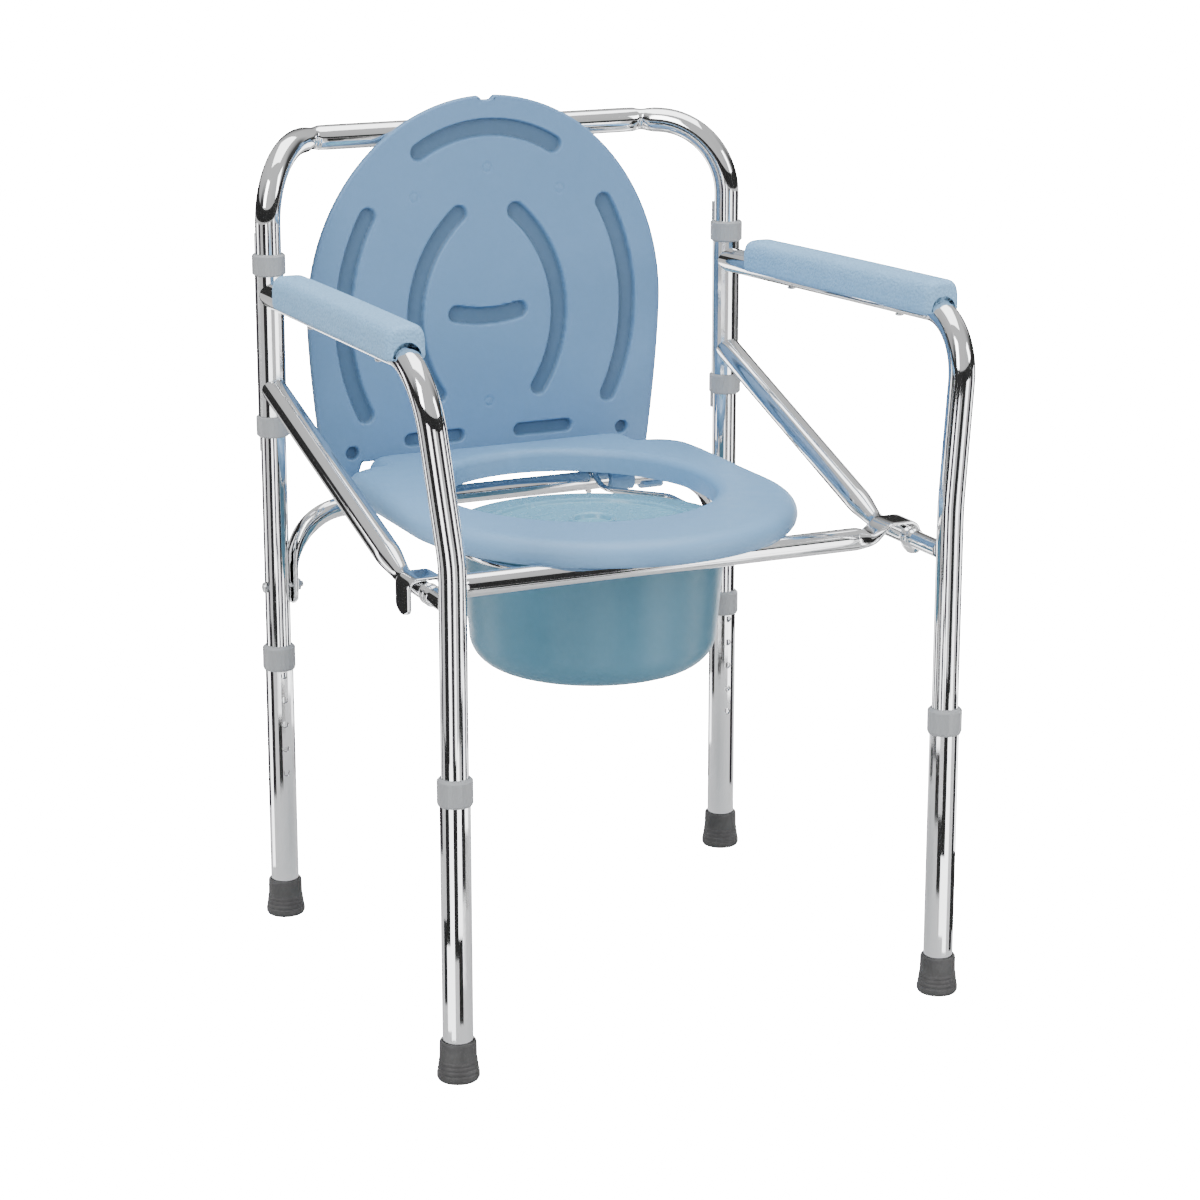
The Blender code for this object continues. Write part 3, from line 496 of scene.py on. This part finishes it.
def make_side_frames():
    """Arm and front leg in one bent tube, and the brace drawn down to its stub."""
    draw_run, crimp_run, crimp_height = 0.040, 0.0024, 0.0017
    for side, sign in SIDES:
        path = dense(arm_path(sign))
        fine_rod(f"arm_and_leg_tube_{side}", f"side_{side}", path, [(TUBE_R, TUBE_R, 2)] * len(path))
        corners = [(sign * LEG_X, REAR_Y - 0.002, BRACE_TOP_Z), (sign * STUB_X, BRACE_BEND_Y, STUB_Z),
                   (sign * (STUB_X + 0.001), FRONT_Y + 0.010, STUB_Z)]
        path = dense(rounded_path(corners, (0.040,)), 0.0012)
        sections = []
        for point in path:
            drawn = eased((BRACE_BEND_Y + draw_run - point.y) / draw_run)
            crimps = sum(math.exp(-((point.y - FRONT_Y - place) / crimp_run) ** 2) for place in CRIMPS)
            radius = TUBE_R + drawn * (STUB_R - TUBE_R) + crimp_height * crimps
            sections.append((radius, radius, 2))
        fine_rod(f"brace_tube_{side}", f"side_{side}", path, sections)


def make_rear_rail():
    """The arched rail between the posts. Its ends are pressed flat and bolted to the posts."""
    flat_x = LEG_X - TUBE_R - GAP - 0.0024
    end_z, press_from_z, press_run, tip_from_z, tip_run = 0.326, 0.405, 0.036, 0.336, 0.0105
    half = rounded_path([(0, RAIL_Y, RAIL_Z), (flat_x, RAIL_Y, RAIL_Z), (flat_x, RAIL_Y, end_z)], (0.057,))
    mirrored = [Vector((-p.x, p.y, p.z)) for p in half[:0:-1]]
    path = dense(mirrored + half, 0.006)
    sections = []
    for point in path:
        pressed = min(1, max(0, (press_from_z - point.z) / press_run))
        wide = RAIL_R + pressed * 0.0048
        thick = RAIL_R + pressed * (0.0022 - RAIL_R)
        tip = max(0, (tip_from_z - point.z) / tip_run)
        wide *= math.sqrt(max(0.05, 1 - min(1, tip) ** 2))
        sections.append((wide, thick, 2 + 3 * pressed))
    fine_rod("rear_seat_rail", "back_frame", path, sections, first_side=(0, 1, 0))


def make_front_bar():
    """The front cross bar. Its ends are pressed flat and curled over the stubs of the side frames."""
    flat_w, flat_t = 0.0170, 0.0018
    over_z = STUB_Z + STUB_R + 0.0006 + flat_t
    tongue_x = STUB_X + STUB_R + 0.0055 + flat_t
    press_from_x, press_run, tip_from_x, tip_from_z, tip_run = 0.196, 0.030, 0.24, 0.4185, 0.008
    corners = [(0, BAR_Y, BAR_Z), (0.212, BAR_Y, BAR_Z), (0.228, BAR_Y, over_z), (tongue_x, BAR_Y, over_z),
               (tongue_x, BAR_Y, 0.4105)]
    half = rounded_path(corners, (0.012, 0.010, 0.0095))
    mirrored = [Vector((-p.x, p.y, p.z)) for p in half[:0:-1]]
    path = dense(mirrored + half, 0.0012)
    sections = []
    for point in path:
        pressed = eased((abs(point.x) - press_from_x) / press_run)
        wide = BAR_R + pressed * (flat_w - BAR_R)
        thick = BAR_R + pressed * (flat_t - BAR_R)
        tip = max(0, (tip_from_z - point.z) / tip_run) if abs(point.x) > tip_from_x else 0
        wide *= math.sqrt(max(0.05, 1 - min(1, tip) ** 2))
        sections.append((wide, thick, 2 + 3 * pressed))
    fine_rod("seat_front_bar", "seat_frame", path, sections, first_side=(0, 1, 0))


def make_pot_wire():
    """The bent wire that carries the pot. Its ends turn into eyes round the rear rail."""
    arc_y = BAR_Y + BAR_R + GAP + WIRE_R + WIRE_ARC_R
    eye_x, eye_r = 0.093, RAIL_R + 2 * GAP + WIRE_R
    side = rounded_path([(WIRE_ARC_R, arc_y, WIRE_Z), (WIRE_ARC_R, RAIL_Y - 0.095, WIRE_Z),
                         (eye_x, RAIL_Y - 0.045, WIRE_Z), (eye_x, RAIL_Y - 0.028, WIRE_Z)], (0.02, 0.02))
    eye = []
    for degrees in range(150, -76, -9):
        turn = math.radians(degrees)
        eye.append(Vector((eye_x, RAIL_Y + eye_r * math.cos(turn), RAIL_Z + eye_r * math.sin(turn))))
    arc = []
    for degrees in range(-87, 1, 3):
        turn = math.radians(degrees)
        arc.append(Vector((WIRE_ARC_R * math.cos(turn), arc_y + WIRE_ARC_R * math.sin(turn), WIRE_Z)))
    half = [Vector((0, arc_y - WIRE_ARC_R, WIRE_Z))] + arc + side[1:] + eye
    path = [Vector((-p.x, p.y, p.z)) for p in half[:0:-1]] + half
    fine_rod("pot_wire", "seat_frame", path, [(WIRE_R, WIRE_R, 2)] * len(path), 20, (0, 0, 1))


# ---------------------------------------------------------------- arm pads


def pad_section(inset):
    """Edge of a pad's cross section: over its crown, then round the channel for the tube."""
    edge = []
    for k in range(33):
        turn = math.pi * k / 32
        reach = PAD_HALF_WIDTH + 0.0006 * math.sin(turn) - inset
        across = math.copysign(abs(math.cos(turn)) ** 0.52, math.cos(turn))
        edge.append((reach * across, 0.0045 + (0.0232 - inset) * math.sin(turn) ** 0.62))
    low = -0.0035 + inset * 0.5
    channel_r = TUBE_R + 0.0004
    foot = PAD_HALF_WIDTH - inset
    edge += [(-foot - 0.0001, 0.0010), (-foot + 0.0006, low + 0.0014), (-foot + 0.0022, low)]
    start = math.asin(low / channel_r)
    for k in range(25):
        turn = math.pi - start - (math.pi - 2 * start) * k / 24
        edge.append((channel_r * math.cos(turn), channel_r * math.sin(turn)))
    edge += [(foot - 0.0022, low), (foot - 0.0006, low + 0.0014), (foot + 0.0001, 0.0010)]
    return edge


def make_arm_pads():
    """A soft pad with a crowned top and round ends that sits over the arm tube."""
    soft, crown, end_pull = 0.0095, 0.0005, 0.62
    for side, sign in SIDES:
        ends = [arm_point(sign, y) for y in PAD_Y]
        forward = (ends[1] - ends[0]).normalized()
        across = Vector((sign, 0, 0))
        across = (across - forward * across.dot(forward)).normalized()
        up = across.cross(forward) * sign
        length = (ends[1] - ends[0]).length
        rows = [soft * (1 - math.cos(math.pi / 2 * k / 8)) for k in range(9)]
        middle = [soft + (length - 2 * soft) * k / 40 for k in range(1, 40)]
        places = rows + middle + [length - r for r in reversed(rows)]
        bm = bmesh.new()
        rings = []
        for place in places:
            near = min(place, length - place)
            inset = soft - math.sqrt(max(0, soft ** 2 - (soft - near) ** 2)) if near < soft else 0
            swell = crown * math.sin(math.pi * place / length)
            ring = []
            for u, v in pad_section(inset * end_pull):
                lift = swell if v > 0.014 else 0
                ring.append(bm.verts.new(ends[0] + forward * place + across * u + up * (v + lift)))
            rings.append(ring)
        skin(bm, rings)
        bm.faces.new(rings[0])
        bm.faces.new(rings[-1])
        pad = piece(f"arm_pad_{side}_soft", bm, f"side_{side}", "pad_blue", [f"arm_pad_{side}"], 50)


# ---------------------------------------------------------------- seat and lid


def seat_outline():
    """Right half of the seat's edge, front to back, with the notch beside each lid hinge."""
    front_y, front_half = FRONT_Y + 0.242, 0.200
    edge = []
    for degrees in range(-90, 1, 2):
        turn = math.radians(degrees)
        edge.append((SEAT_HALF * math.cos(turn), front_y + front_half * math.sin(turn)))
    corner_y, corner_r, notch_y = REAR_Y - 0.052, 0.036, REAR_Y - 0.0145
    edge.append((SEAT_HALF - 0.001, corner_y - 0.02))
    for degrees in range(0, 91, 5):
        turn = math.radians(degrees)
        edge.append((SEAT_HALF - 0.003 - corner_r + corner_r * math.cos(turn),
                     notch_y - corner_r + corner_r * math.sin(turn)))
    strip_y = RAIL_Y + 0.031
    edge += [(0.1440, notch_y), (0.141, notch_y + 0.006), (0.140, strip_y - 0.010), (0.134, strip_y - 0.003),
             (0.124, strip_y), (0, strip_y)]
    return edge


def by_direction(edge, centre_y, directions):
    """Points of a half outline in given directions from the centre, for both halves."""
    found = []
    for turn in directions:
        mirror = -1 if math.cos(turn) < -1e-9 else 1
        ray = Vector((abs(math.cos(turn)), math.sin(turn)))
        best = None
        for a, b in zip(edge, edge[1:]):
            start, span = Vector((a[0], a[1] - centre_y)), Vector((b[0] - a[0], b[1] - a[1]))
            cross = ray.x * span.y - ray.y * span.x
            if abs(cross) < 1e-12:
                continue
            reach = (start.x * span.y - start.y * span.x) / cross
            share = (start.x * ray.y - start.y * ray.x) / cross
            if reach > 0 and -1e-6 <= share <= 1 + 1e-6:
                best = reach if best is None else max(best, reach)
        found.append((mirror * ray.x * best, centre_y + ray.y * best))
    return found


def by_direction_ellipse(turns, centre_y):
    """Points of the seat's opening in given directions from its centre."""
    wide, long = OPENING
    found = []
    for turn in turns:
        reach = 1 / math.hypot(math.cos(turn) / wide, math.sin(turn) / long)
        found.append((reach * math.cos(turn), centre_y + reach * math.sin(turn)))
    return found


def make_seat():
    """The moulded seat: a crowned ring with a rolled outer edge, open below like a tray."""
    centre_y = OPENING_Y
    edge = seat_outline()
    even = {round(math.radians(d), 6) for d in range(-89, 90, 2)}
    corners = {round(math.atan2(y - centre_y, x), 6) for x, y in edge if y > REAR_Y - 0.03}
    right = sorted(t for t in even | corners if -math.pi / 2 < t < math.pi / 2)
    turns = [-math.pi / 2] + right + [math.pi / 2] + [math.pi - t for t in reversed(right)]
    outer = by_direction(edge, centre_y, turns)
    inner = by_direction_ellipse(turns, centre_y)
    bm = bmesh.new()

    def loop(base, inset, z):
        return [bm.verts.new((x - inset * math.cos(t), y - inset * math.sin(t), z))
                for (x, y), t in zip(base, turns)]

    height, widest = SEAT_TOP - SEAT_BOTTOM, 0.0075
    rolled = []
    for k in range(13):
        turn = math.pi / 2 * k / 12
        inset = 0.0200 * (1 - math.cos(turn)) ** 1.15
        rolled.append((inset, SEAT_BOTTOM + widest + (height - widest) * math.sin(turn)))
    loops = [loop(outer, inset, z) for inset, z in ((0.0060, SEAT_BOTTOM), (0.0030, SEAT_BOTTOM + 0.0008),
                                                    (0.0010, SEAT_BOTTOM + 0.0035))]
    loops += [loop(outer, inset, z) for inset, z in rolled]
    loops += [loop(inner, -0.0110, SEAT_TOP), loop(inner, -0.0075, SEAT_TOP - 0.0004),
              loop(inner, -0.0045, SEAT_TOP - 0.0015), loop(inner, -0.0020, SEAT_TOP - 0.0034),
              loop(inner, -0.0005, SEAT_TOP - 0.0060), loop(inner, 0, SEAT_TOP - 0.0085)]
    wall, tray_z = 0.0105, SEAT_TOP - 0.006
    loops += [loop(inner, 0, SEAT_BOTTOM), loop(inner, -0.005, SEAT_BOTTOM), loop(inner, -0.006, tray_z)]
    loops += [loop(outer, wall + 0.007, tray_z), loop(outer, wall, SEAT_BOTTOM + 0.009),
              loop(outer, wall, SEAT_BOTTOM)]
    skin(bm, loops + loops[:1])
    piece("seat_moulding", bm, "seat_frame", "light_blue_plastic", ["seat"], 55)


def arc_through(a, b, c, count):
    """Points of the circle arc from a through b to c, in the lid's plane."""
    (ax, az), (bx, bz), (cx, cz) = a, b, c
    d = 2 * (ax * (bz - cz) + bx * (cz - az) + cx * (az - bz))
    a2, b2, c2 = ax * ax + az * az, bx * bx + bz * bz, cx * cx + cz * cz
    ux = (a2 * (bz - cz) + b2 * (cz - az) + c2 * (az - bz)) / d
    uz = (a2 * (cx - bx) + b2 * (ax - cx) + c2 * (bx - ax)) / d
    radius = math.hypot(ax - ux, az - uz)
    first, middle, last = (math.atan2(z - uz, x - ux) for x, z in (a, b, c))
    while middle - first > math.pi:
        middle -= 2 * math.pi
    while middle - first < -math.pi:
        middle += 2 * math.pi
    while last - middle > math.pi:
        last -= 2 * math.pi
    while last - middle < -math.pi:
        last += 2 * math.pi
    turns = [first + (last - first) * k / count for k in range(count + 1)]
    return [(ux + radius * math.cos(t), uz + radius * math.sin(t)) for t in turns]


def groove_runs():
    """Centre lines of the lid's recessed grooves, each with its half width, in the lid's plane."""
    runs = [(arc_through((-0.0733, 0.7596), (0, 0.7805), (0.0733, 0.7596), 24), GROOVE_HALF),
            (arc_through((-0.0343, 0.5922), (0, 0.5880), (0.0343, 0.5922), 12), GROOVE_HALF)]
    outer = ((0.1300, 0.6977), (0.1572, 0.598), (0.1354, 0.4964))
    inner = ((0.0314, 0.6944), (0.0792, 0.598), (0.0565, 0.510))
    for _, sign in SIDES:
        for arc in (outer, inner):
            runs.append((arc_through(*((sign * x, z) for x, z in arc), 30), GROOVE_HALF))
        runs.append(([(sign * 0.0345, 0.466), (sign * 0.0868, 0.466)], 0.0078))
    return runs


def distance_to_run(x, z, run):
    """Distance from arrays of points to a polyline."""
    nearest = np.full(x.shape, 1.0)
    for (ax, az), (bx, bz) in zip(run, run[1:]):
        dx, dz = bx - ax, bz - az
        share = np.clip(((x - ax) * dx + (z - az) * dz) / (dx * dx + dz * dz), 0, 1)
        nearest = np.minimum(nearest, np.hypot(x - ax - share * dx, z - az - share * dz))
    return nearest


def lid_depth(x, z):
    """How far the lid's face is sunk at each point: grooves, screw holes and faint ejector marks."""
    depth = np.zeros(x.shape)
    for run, half_width in groove_runs():
        wall = np.clip((half_width - distance_to_run(x, z, run)) / GROOVE_WALL, 0, 1)
        depth = np.maximum(depth, GROOVE_DEPTH * wall * wall * (3 - 2 * wall))
    for _, sign in SIDES:
        wall = np.clip((0.0074 - np.hypot(x - sign * LID_HOLES[0], z - LID_HOLES[1])) / 0.0016, 0, 1)
        depth = np.maximum(depth, 0.0062 * wall)
    for mark_x, mark_z in LID_MARKS:
        ring = np.clip(1 - np.abs(np.hypot(x - mark_x, z - mark_z) - LID_MARK_R) / 0.0016, 0, 1)
        depth = np.maximum(depth, 0.0008 * ring)
    return depth


def make_lid():
    """The lid, open: an oval panel with soft edges and recessed grooves on the face that closes down."""
    columns, rows_up, rows_down = 330, 200, 150
    low, high = LID_Z
    rows = []
    for k in range(rows_down):
        share = 1 - k / rows_down
        rows.append((LID_HALF - 0.0155 * share ** 1.5, LID_WIDEST_Z + share * (low - LID_WIDEST_Z)))
    for k in range(rows_up + 1):
        turn = math.radians(89.3) * k / rows_up
        rows.append((LID_HALF * math.cos(turn), LID_WIDEST_Z + (high - LID_WIDEST_Z) * math.sin(turn)))
    half, base = np.array(rows).T
    corner = np.clip((low + 0.008 - base) / 0.008, 0, 1)
    half = half - 0.0075 * (1 - np.sqrt(1 - corner ** 2))
    across = np.linspace(-1, 1, columns + 1)
    x = half[:, None] * across[None, :]
    z = np.repeat(base[:, None], columns + 1, axis=1)
    step = np.clip((LID_RECESS[0] + 0.006 - np.abs(x)) / 0.010, 0, 1)
    step = LID_RECESS[1] * step * step * (3 - 2 * step)
    z = z + step * np.clip(1 - (z - low) / 0.055, 0, 1)
    notch = 0.0045 * np.clip(1 - (np.abs(x) / 0.009) ** 4, 0, 1)
    z = z - notch * np.clip((z - high + 0.020) / 0.020, 0, 1)
    y = LID_FRONT + lid_depth(x, z)

    bm = bmesh.new()
    grid = [[bm.verts.new(corner_point) for corner_point in zip(*line)] for line in zip(x, y, z)]
    for lower, upper in zip(grid, grid[1:]):
        for k in range(columns):
            bm.faces.new((lower[k], lower[k + 1], upper[k + 1], upper[k]))
    right_edge = [line[-1] for line in grid[1:-1]]
    left_edge = [line[0] for line in grid[-2:0:-1]]
    border = grid[0] + right_edge + grid[-1][::-1] + left_edge
    soft = 0.0024
    outward = []
    for before, after in zip(border[-1:] + border, border[1:] + border[:1]):
        way = after.co - before.co
        outward.append(Vector((way.z, 0, -way.x)).normalized())

    def edge_ring(start, share, back):
        """A copy of a ring, moved outward by a share of the soft edge and back by a length."""
        return [bm.verts.new(v.co + o * soft * share + Vector((0, back, 0))) for v, o in zip(start, outward)]

    turns = [math.pi / 2 * k / 5 for k in range(1, 6)]
    rings = [border] + [edge_ring(border, math.sin(t), soft * (1 - math.cos(t))) for t in turns]
    flat = edge_ring(rings[-1], 0, LID_THICK - 2 * soft)
    rings += [flat] + [edge_ring(flat, math.cos(t) - 1, soft * math.sin(t)) for t in turns]
    skin(bm, rings)
    bm.faces.new(rings[-1])
    for vert in bm.verts:
        vert.co.x *= 1 - soft / LID_HALF
        vert.co.z = LID_WIDEST_Z + (vert.co.z - LID_WIDEST_Z) * (1 - soft / (high - LID_WIDEST_Z))
    piece("lid_moulding", bm, "lid", "light_blue_plastic", ["lid"], 50, "lid_moulding")


# ---------------------------------------------------------------- pot and feet


def make_pot():
    """The pot with its rolled flange, and the lid with its ridge and knob."""
    low, high = POT_Z
    rim, flange, side, corner = 0.1285, 0.1425, 0.1195, 0.030
    turns = [math.radians(6 * k) for k in range(16)]

    def rounded(inset):
        reach = corner - inset
        return [(side - corner + reach * math.sin(t), low + corner - reach * math.cos(t)) for t in turns]

    base = [(0, low + 0.0012), (0.070, low + 0.0012), (0.073, low)]
    edge = fillet([(side, low + corner + 0.001), (rim, high - 0.0032), (flange - 0.001, high - 0.0032),
                   (flange, high - 0.0016), (flange - 0.0006, high), (rim - POT_WALL, high),
                   (side - POT_WALL, low + corner + 0.001)], 0.0016)
    outline = base + rounded(0) + edge + list(reversed(rounded(POT_WALL))) + [(0, low + POT_WALL)]
    turned("pot_moulding", outline, (0, POT_Y), "pot", "teal_plastic", ["pot"], 128)
    base = high + GAP
    plug = rim - POT_WALL - 0.0012
    top = base + 0.002
    face = [(0.1385, base), (0.1390, base + 0.001), (0.1385, top), (0.107, top), (0.1055, top + 0.0035),
            (0.1005, top + 0.0035), (0.099, top), (0.030, top), (0.0232, top + 0.0005),
            (0.0225, top + 0.0085), (0.0207, top + 0.0100), (0.0180, top + 0.0085), (0.0165, top + 0.0040),
            (0, top + 0.0038)]
    outline = [(0, base), (plug - 0.002, base), (plug - 0.002, base - 0.005), (plug, base - 0.005),
               (plug, base)]
    outline += fillet(face, 0.0011, 4)
    turned("pot_lid_moulding", outline, (0, POT_Y), "pot_lid", "clear_teal_plastic", ["pot_lid"], 128)


def make_feet():
    """Rubber cups with moulded rings, wider at the floor."""
    outline = [(0, 0), (0.0150, 0), (0.0182, 0.0010), (0.0195, 0.0035), (0.0195, 0.0075), (0.0186, 0.0082),
               (0.0186, 0.0092), (0.0189, 0.0102), (0.0187, 0.0118), (0.0181, 0.0124), (0.0180, 0.0134),
               (0.0183, 0.0142), (0.0181, 0.0158), (0.0176, 0.0164), (0.0175, 0.0174), (0.0178, 0.0182),
               (0.0176, 0.0198), (0.0171, 0.0204), (0.0168, FOOT_HEIGHT - 0.0035),
               (0.0166, FOOT_HEIGHT - 0.0012), (0.0158, FOOT_HEIGHT), (FOOT_BORE_R, FOOT_HEIGHT),
               (FOOT_BORE_R, FOOT_FLOOR_Z), (0, FOOT_FLOOR_Z)]
    for end, y in zip(ENDS, (FRONT_Y, REAR_Y)):
        for side, sign in SIDES:
            foot = f"foot_{end}_{side}"
            turned(f"{foot}_moulding", fillet(outline, 0.0004, 3), (sign * LEG_X, y), f"leg_{end}_{side}",
                   "grey_rubber", [foot], 72)


# ---------------------------------------------------------------- studio


def make_floor():
    """A white seamless floor, and under it a duller one for the chair's bounce light and reflections."""
    for name, glow, tone, seen in (("studio_floor", FLOOR_GLOW, 0.84, True),
                                   ("studio_bounce", BOUNCE_GLOW, 0.74, False)):
        bm = bmesh.new()
        ring = [(FLOOR_RADIUS * math.cos(math.radians(5 * k)), FLOOR_RADIUS * math.sin(math.radians(5 * k)))
                for k in range(72)]
        bm.faces.new([bm.verts.new((x, y, 0 if seen else -0.001)) for x, y in ring])
        mesh = bpy.data.meshes.new(name)
        bm.to_mesh(mesh)
        bm.free()
        s = Shader(name, roughness=0.85)
        s.surface.inputs["Emission Color"].default_value = (1, 1, 1, 1)
        s.surface.inputs["Emission Strength"].default_value = glow
        mottled = s.mixed(s.noise(0.8, 2), (tone, tone, tone, 1), (tone * 1.02, tone * 1.02, tone * 1.02, 1))
        mesh.materials.append(s.finish(Base_Color=mottled))
        floor = bpy.data.objects.new(name, mesh)
        bpy.context.collection.objects.link(floor)
        floor.visible_camera = seen
        floor.visible_diffuse = not seen
        floor.visible_glossy = not seen
        floor.visible_transmission = not seen


def make_card(name, first, last, radius, low, high, finish):
    """An upright card, curved about the chair, that only reflections see."""
    bm = bmesh.new()
    count = max(4, math.ceil((last - first) / 4))
    turns = [math.radians(first + (last - first) * k / count) for k in range(count + 1)]
    rows = [[bm.verts.new((radius * math.cos(t), radius * math.sin(t), z)) for t in turns]
            for z in (low, high)]
    for k in range(count):
        bm.faces.new((rows[0][k], rows[0][k + 1], rows[1][k + 1], rows[1][k]))
    mesh = bpy.data.meshes.new(name)
    bm.to_mesh(mesh)
    bm.free()
    mesh.materials.append(finish)
    card = bpy.data.objects.new(name, mesh)
    bpy.context.collection.objects.link(card)
    card.visible_camera = False
    card.visible_diffuse = False
    card.visible_transmission = False
    card.visible_shadow = False


def make_cards():
    """Dark and bright cards round the studio, for streaks along the polished tubes."""
    s = Shader("studio_dark_card", roughness=0.9)
    dark = s.finish(Base_Color=s.mixed(s.noise(3), (0.006, 0.006, 0.006, 1), (0.012, 0.012, 0.012, 1)))
    s = Shader("studio_bright_card", roughness=0.9)
    bright = s.finish(Base_Color=(0.9, 0.9, 0.9, 1), Emission_Color=(1, 1, 1, 1), Emission_Strength=CARD_GLOW)
    for tone, finish, bearings in (("dark", dark, DARK_BEARINGS), ("bright", bright, BRIGHT_BEARINGS)):
        for number, (start, wide) in enumerate(bearings):
            for place, radius, low, high in CARD_ROWS:
                name = f"studio_{tone}_card_{place}_{number}"
                make_card(name, start, start + wide, radius, low, high, finish)
    make_card("studio_dark_band", 0, 360, 1.75, 0.62, 1.10, dark)


def make_world():
    """Soft light from all round, with darker bands at the sides that the chrome picks up as streaks."""
    world = bpy.data.worlds.new("studio")
    world.use_nodes = True
    tree = world.node_tree
    direction = tree.nodes.new("ShaderNodeTexCoord").outputs["Generated"]
    parts = tree.nodes.new("ShaderNodeSeparateXYZ")
    tree.links.new(direction, parts.inputs[0])
    around = tree.nodes.new("ShaderNodeMath")
    around.operation = "ARCTAN2"
    tree.links.new(parts.outputs["X"], around.inputs[0])
    tree.links.new(parts.outputs["Y"], around.inputs[1])
    share = tree.nodes.new("ShaderNodeMapRange")
    share.inputs["From Min"].default_value = -math.pi
    share.inputs["From Max"].default_value = math.pi
    tree.links.new(around.outputs[0], share.inputs["Value"])
    bands = tree.nodes.new("ShaderNodeValToRGB")
    bands.color_ramp.interpolation = "EASE"
    stops = ((0.00, 1.0), (0.16, 1.0), (0.20, 0.10), (0.25, 0.06), (0.29, 0.75), (0.40, 0.9), (0.47, 0.85),
             (0.53, 0.12), (0.57, 0.10), (0.62, 0.85), (0.70, 0.95), (0.74, 0.10), (0.79, 0.08), (0.84, 0.9))
    ramp = bands.color_ramp.elements
    while len(ramp) > 1:
        ramp.remove(ramp[-1])
    ramp[0].position, ramp[0].color = stops[0][0], (stops[0][1],) * 3 + (1,)
    for place, level in stops[1:]:
        ramp.new(place).color = (level, level, level, 1)
    tree.links.new(share.outputs["Result"], bands.inputs["Fac"])
    upward = tree.nodes.new("ShaderNodeMapRange")
    for name, value in (("From Min", 0.35), ("From Max", 0.75)):
        upward.inputs[name].default_value = value
    tree.links.new(parts.outputs["Z"], upward.inputs["Value"])
    blend = tree.nodes.new("ShaderNodeMix")
    blend.data_type = "RGBA"
    tree.links.new(upward.outputs["Result"], blend.inputs[0])
    tree.links.new(bands.outputs["Color"], blend.inputs[6])
    blend.inputs[7].default_value = (1.0, 1.0, 1.0, 1)
    background = tree.nodes["Background"]
    tree.links.new(blend.outputs[2], background.inputs["Color"])
    background.inputs["Strength"].default_value = 0.75
    bpy.context.scene.world = world


def make_light(name, place, aim, size, power):
    """A rectangular softbox that stands at a place and points at another."""
    light = bpy.data.lights.new(name, "AREA")
    light.shape = "RECTANGLE"
    light.size, light.size_y = size
    light.energy = power
    made = bpy.data.objects.new(name, light)
    made.location = place
    made.rotation_euler = (Vector(aim) - Vector(place)).to_track_quat("-Z", "Y").to_euler()
    bpy.context.collection.objects.link(made)


def make_lights():
    """Key from the left, fill from the right, and one from above."""
    make_light("key_softbox", (-2.6, -1.6, 2.6), (0, 0, 0.4), (1.2, 2.2), 90)
    make_light("fill_softbox", (2.4, -2.2, 1.8), (0, 0, 0.4), (1.0, 2.0), 45)
    make_light("top_softbox", (0.2, 0.4, 3.2), (0, 0, 0.3), (2.4, 2.4), 75)


def make_camera():
    """The camera that was fitted to the photograph."""
    camera = bpy.data.cameras.new("camera")
    camera.sensor_width = 36
    camera.lens = CAMERA_LENS
    made = bpy.data.objects.new("camera", camera)
    made.location = CAMERA_PLACE
    made.rotation_euler = (math.radians(90 + CAMERA_TILT), 0, math.radians(CAMERA_TURN))
    bpy.context.collection.objects.link(made)
    bpy.context.scene.camera = made


materials = make_materials()
paint_nodes(materials)
make_back_frame()
make_side_frames()
make_rear_rail()
make_front_bar()
make_pot_wire()
make_arm_pads()
make_seat()
make_lid()
make_pot()
make_feet()
make_floor()
make_cards()
make_world()
make_lights()
make_camera()
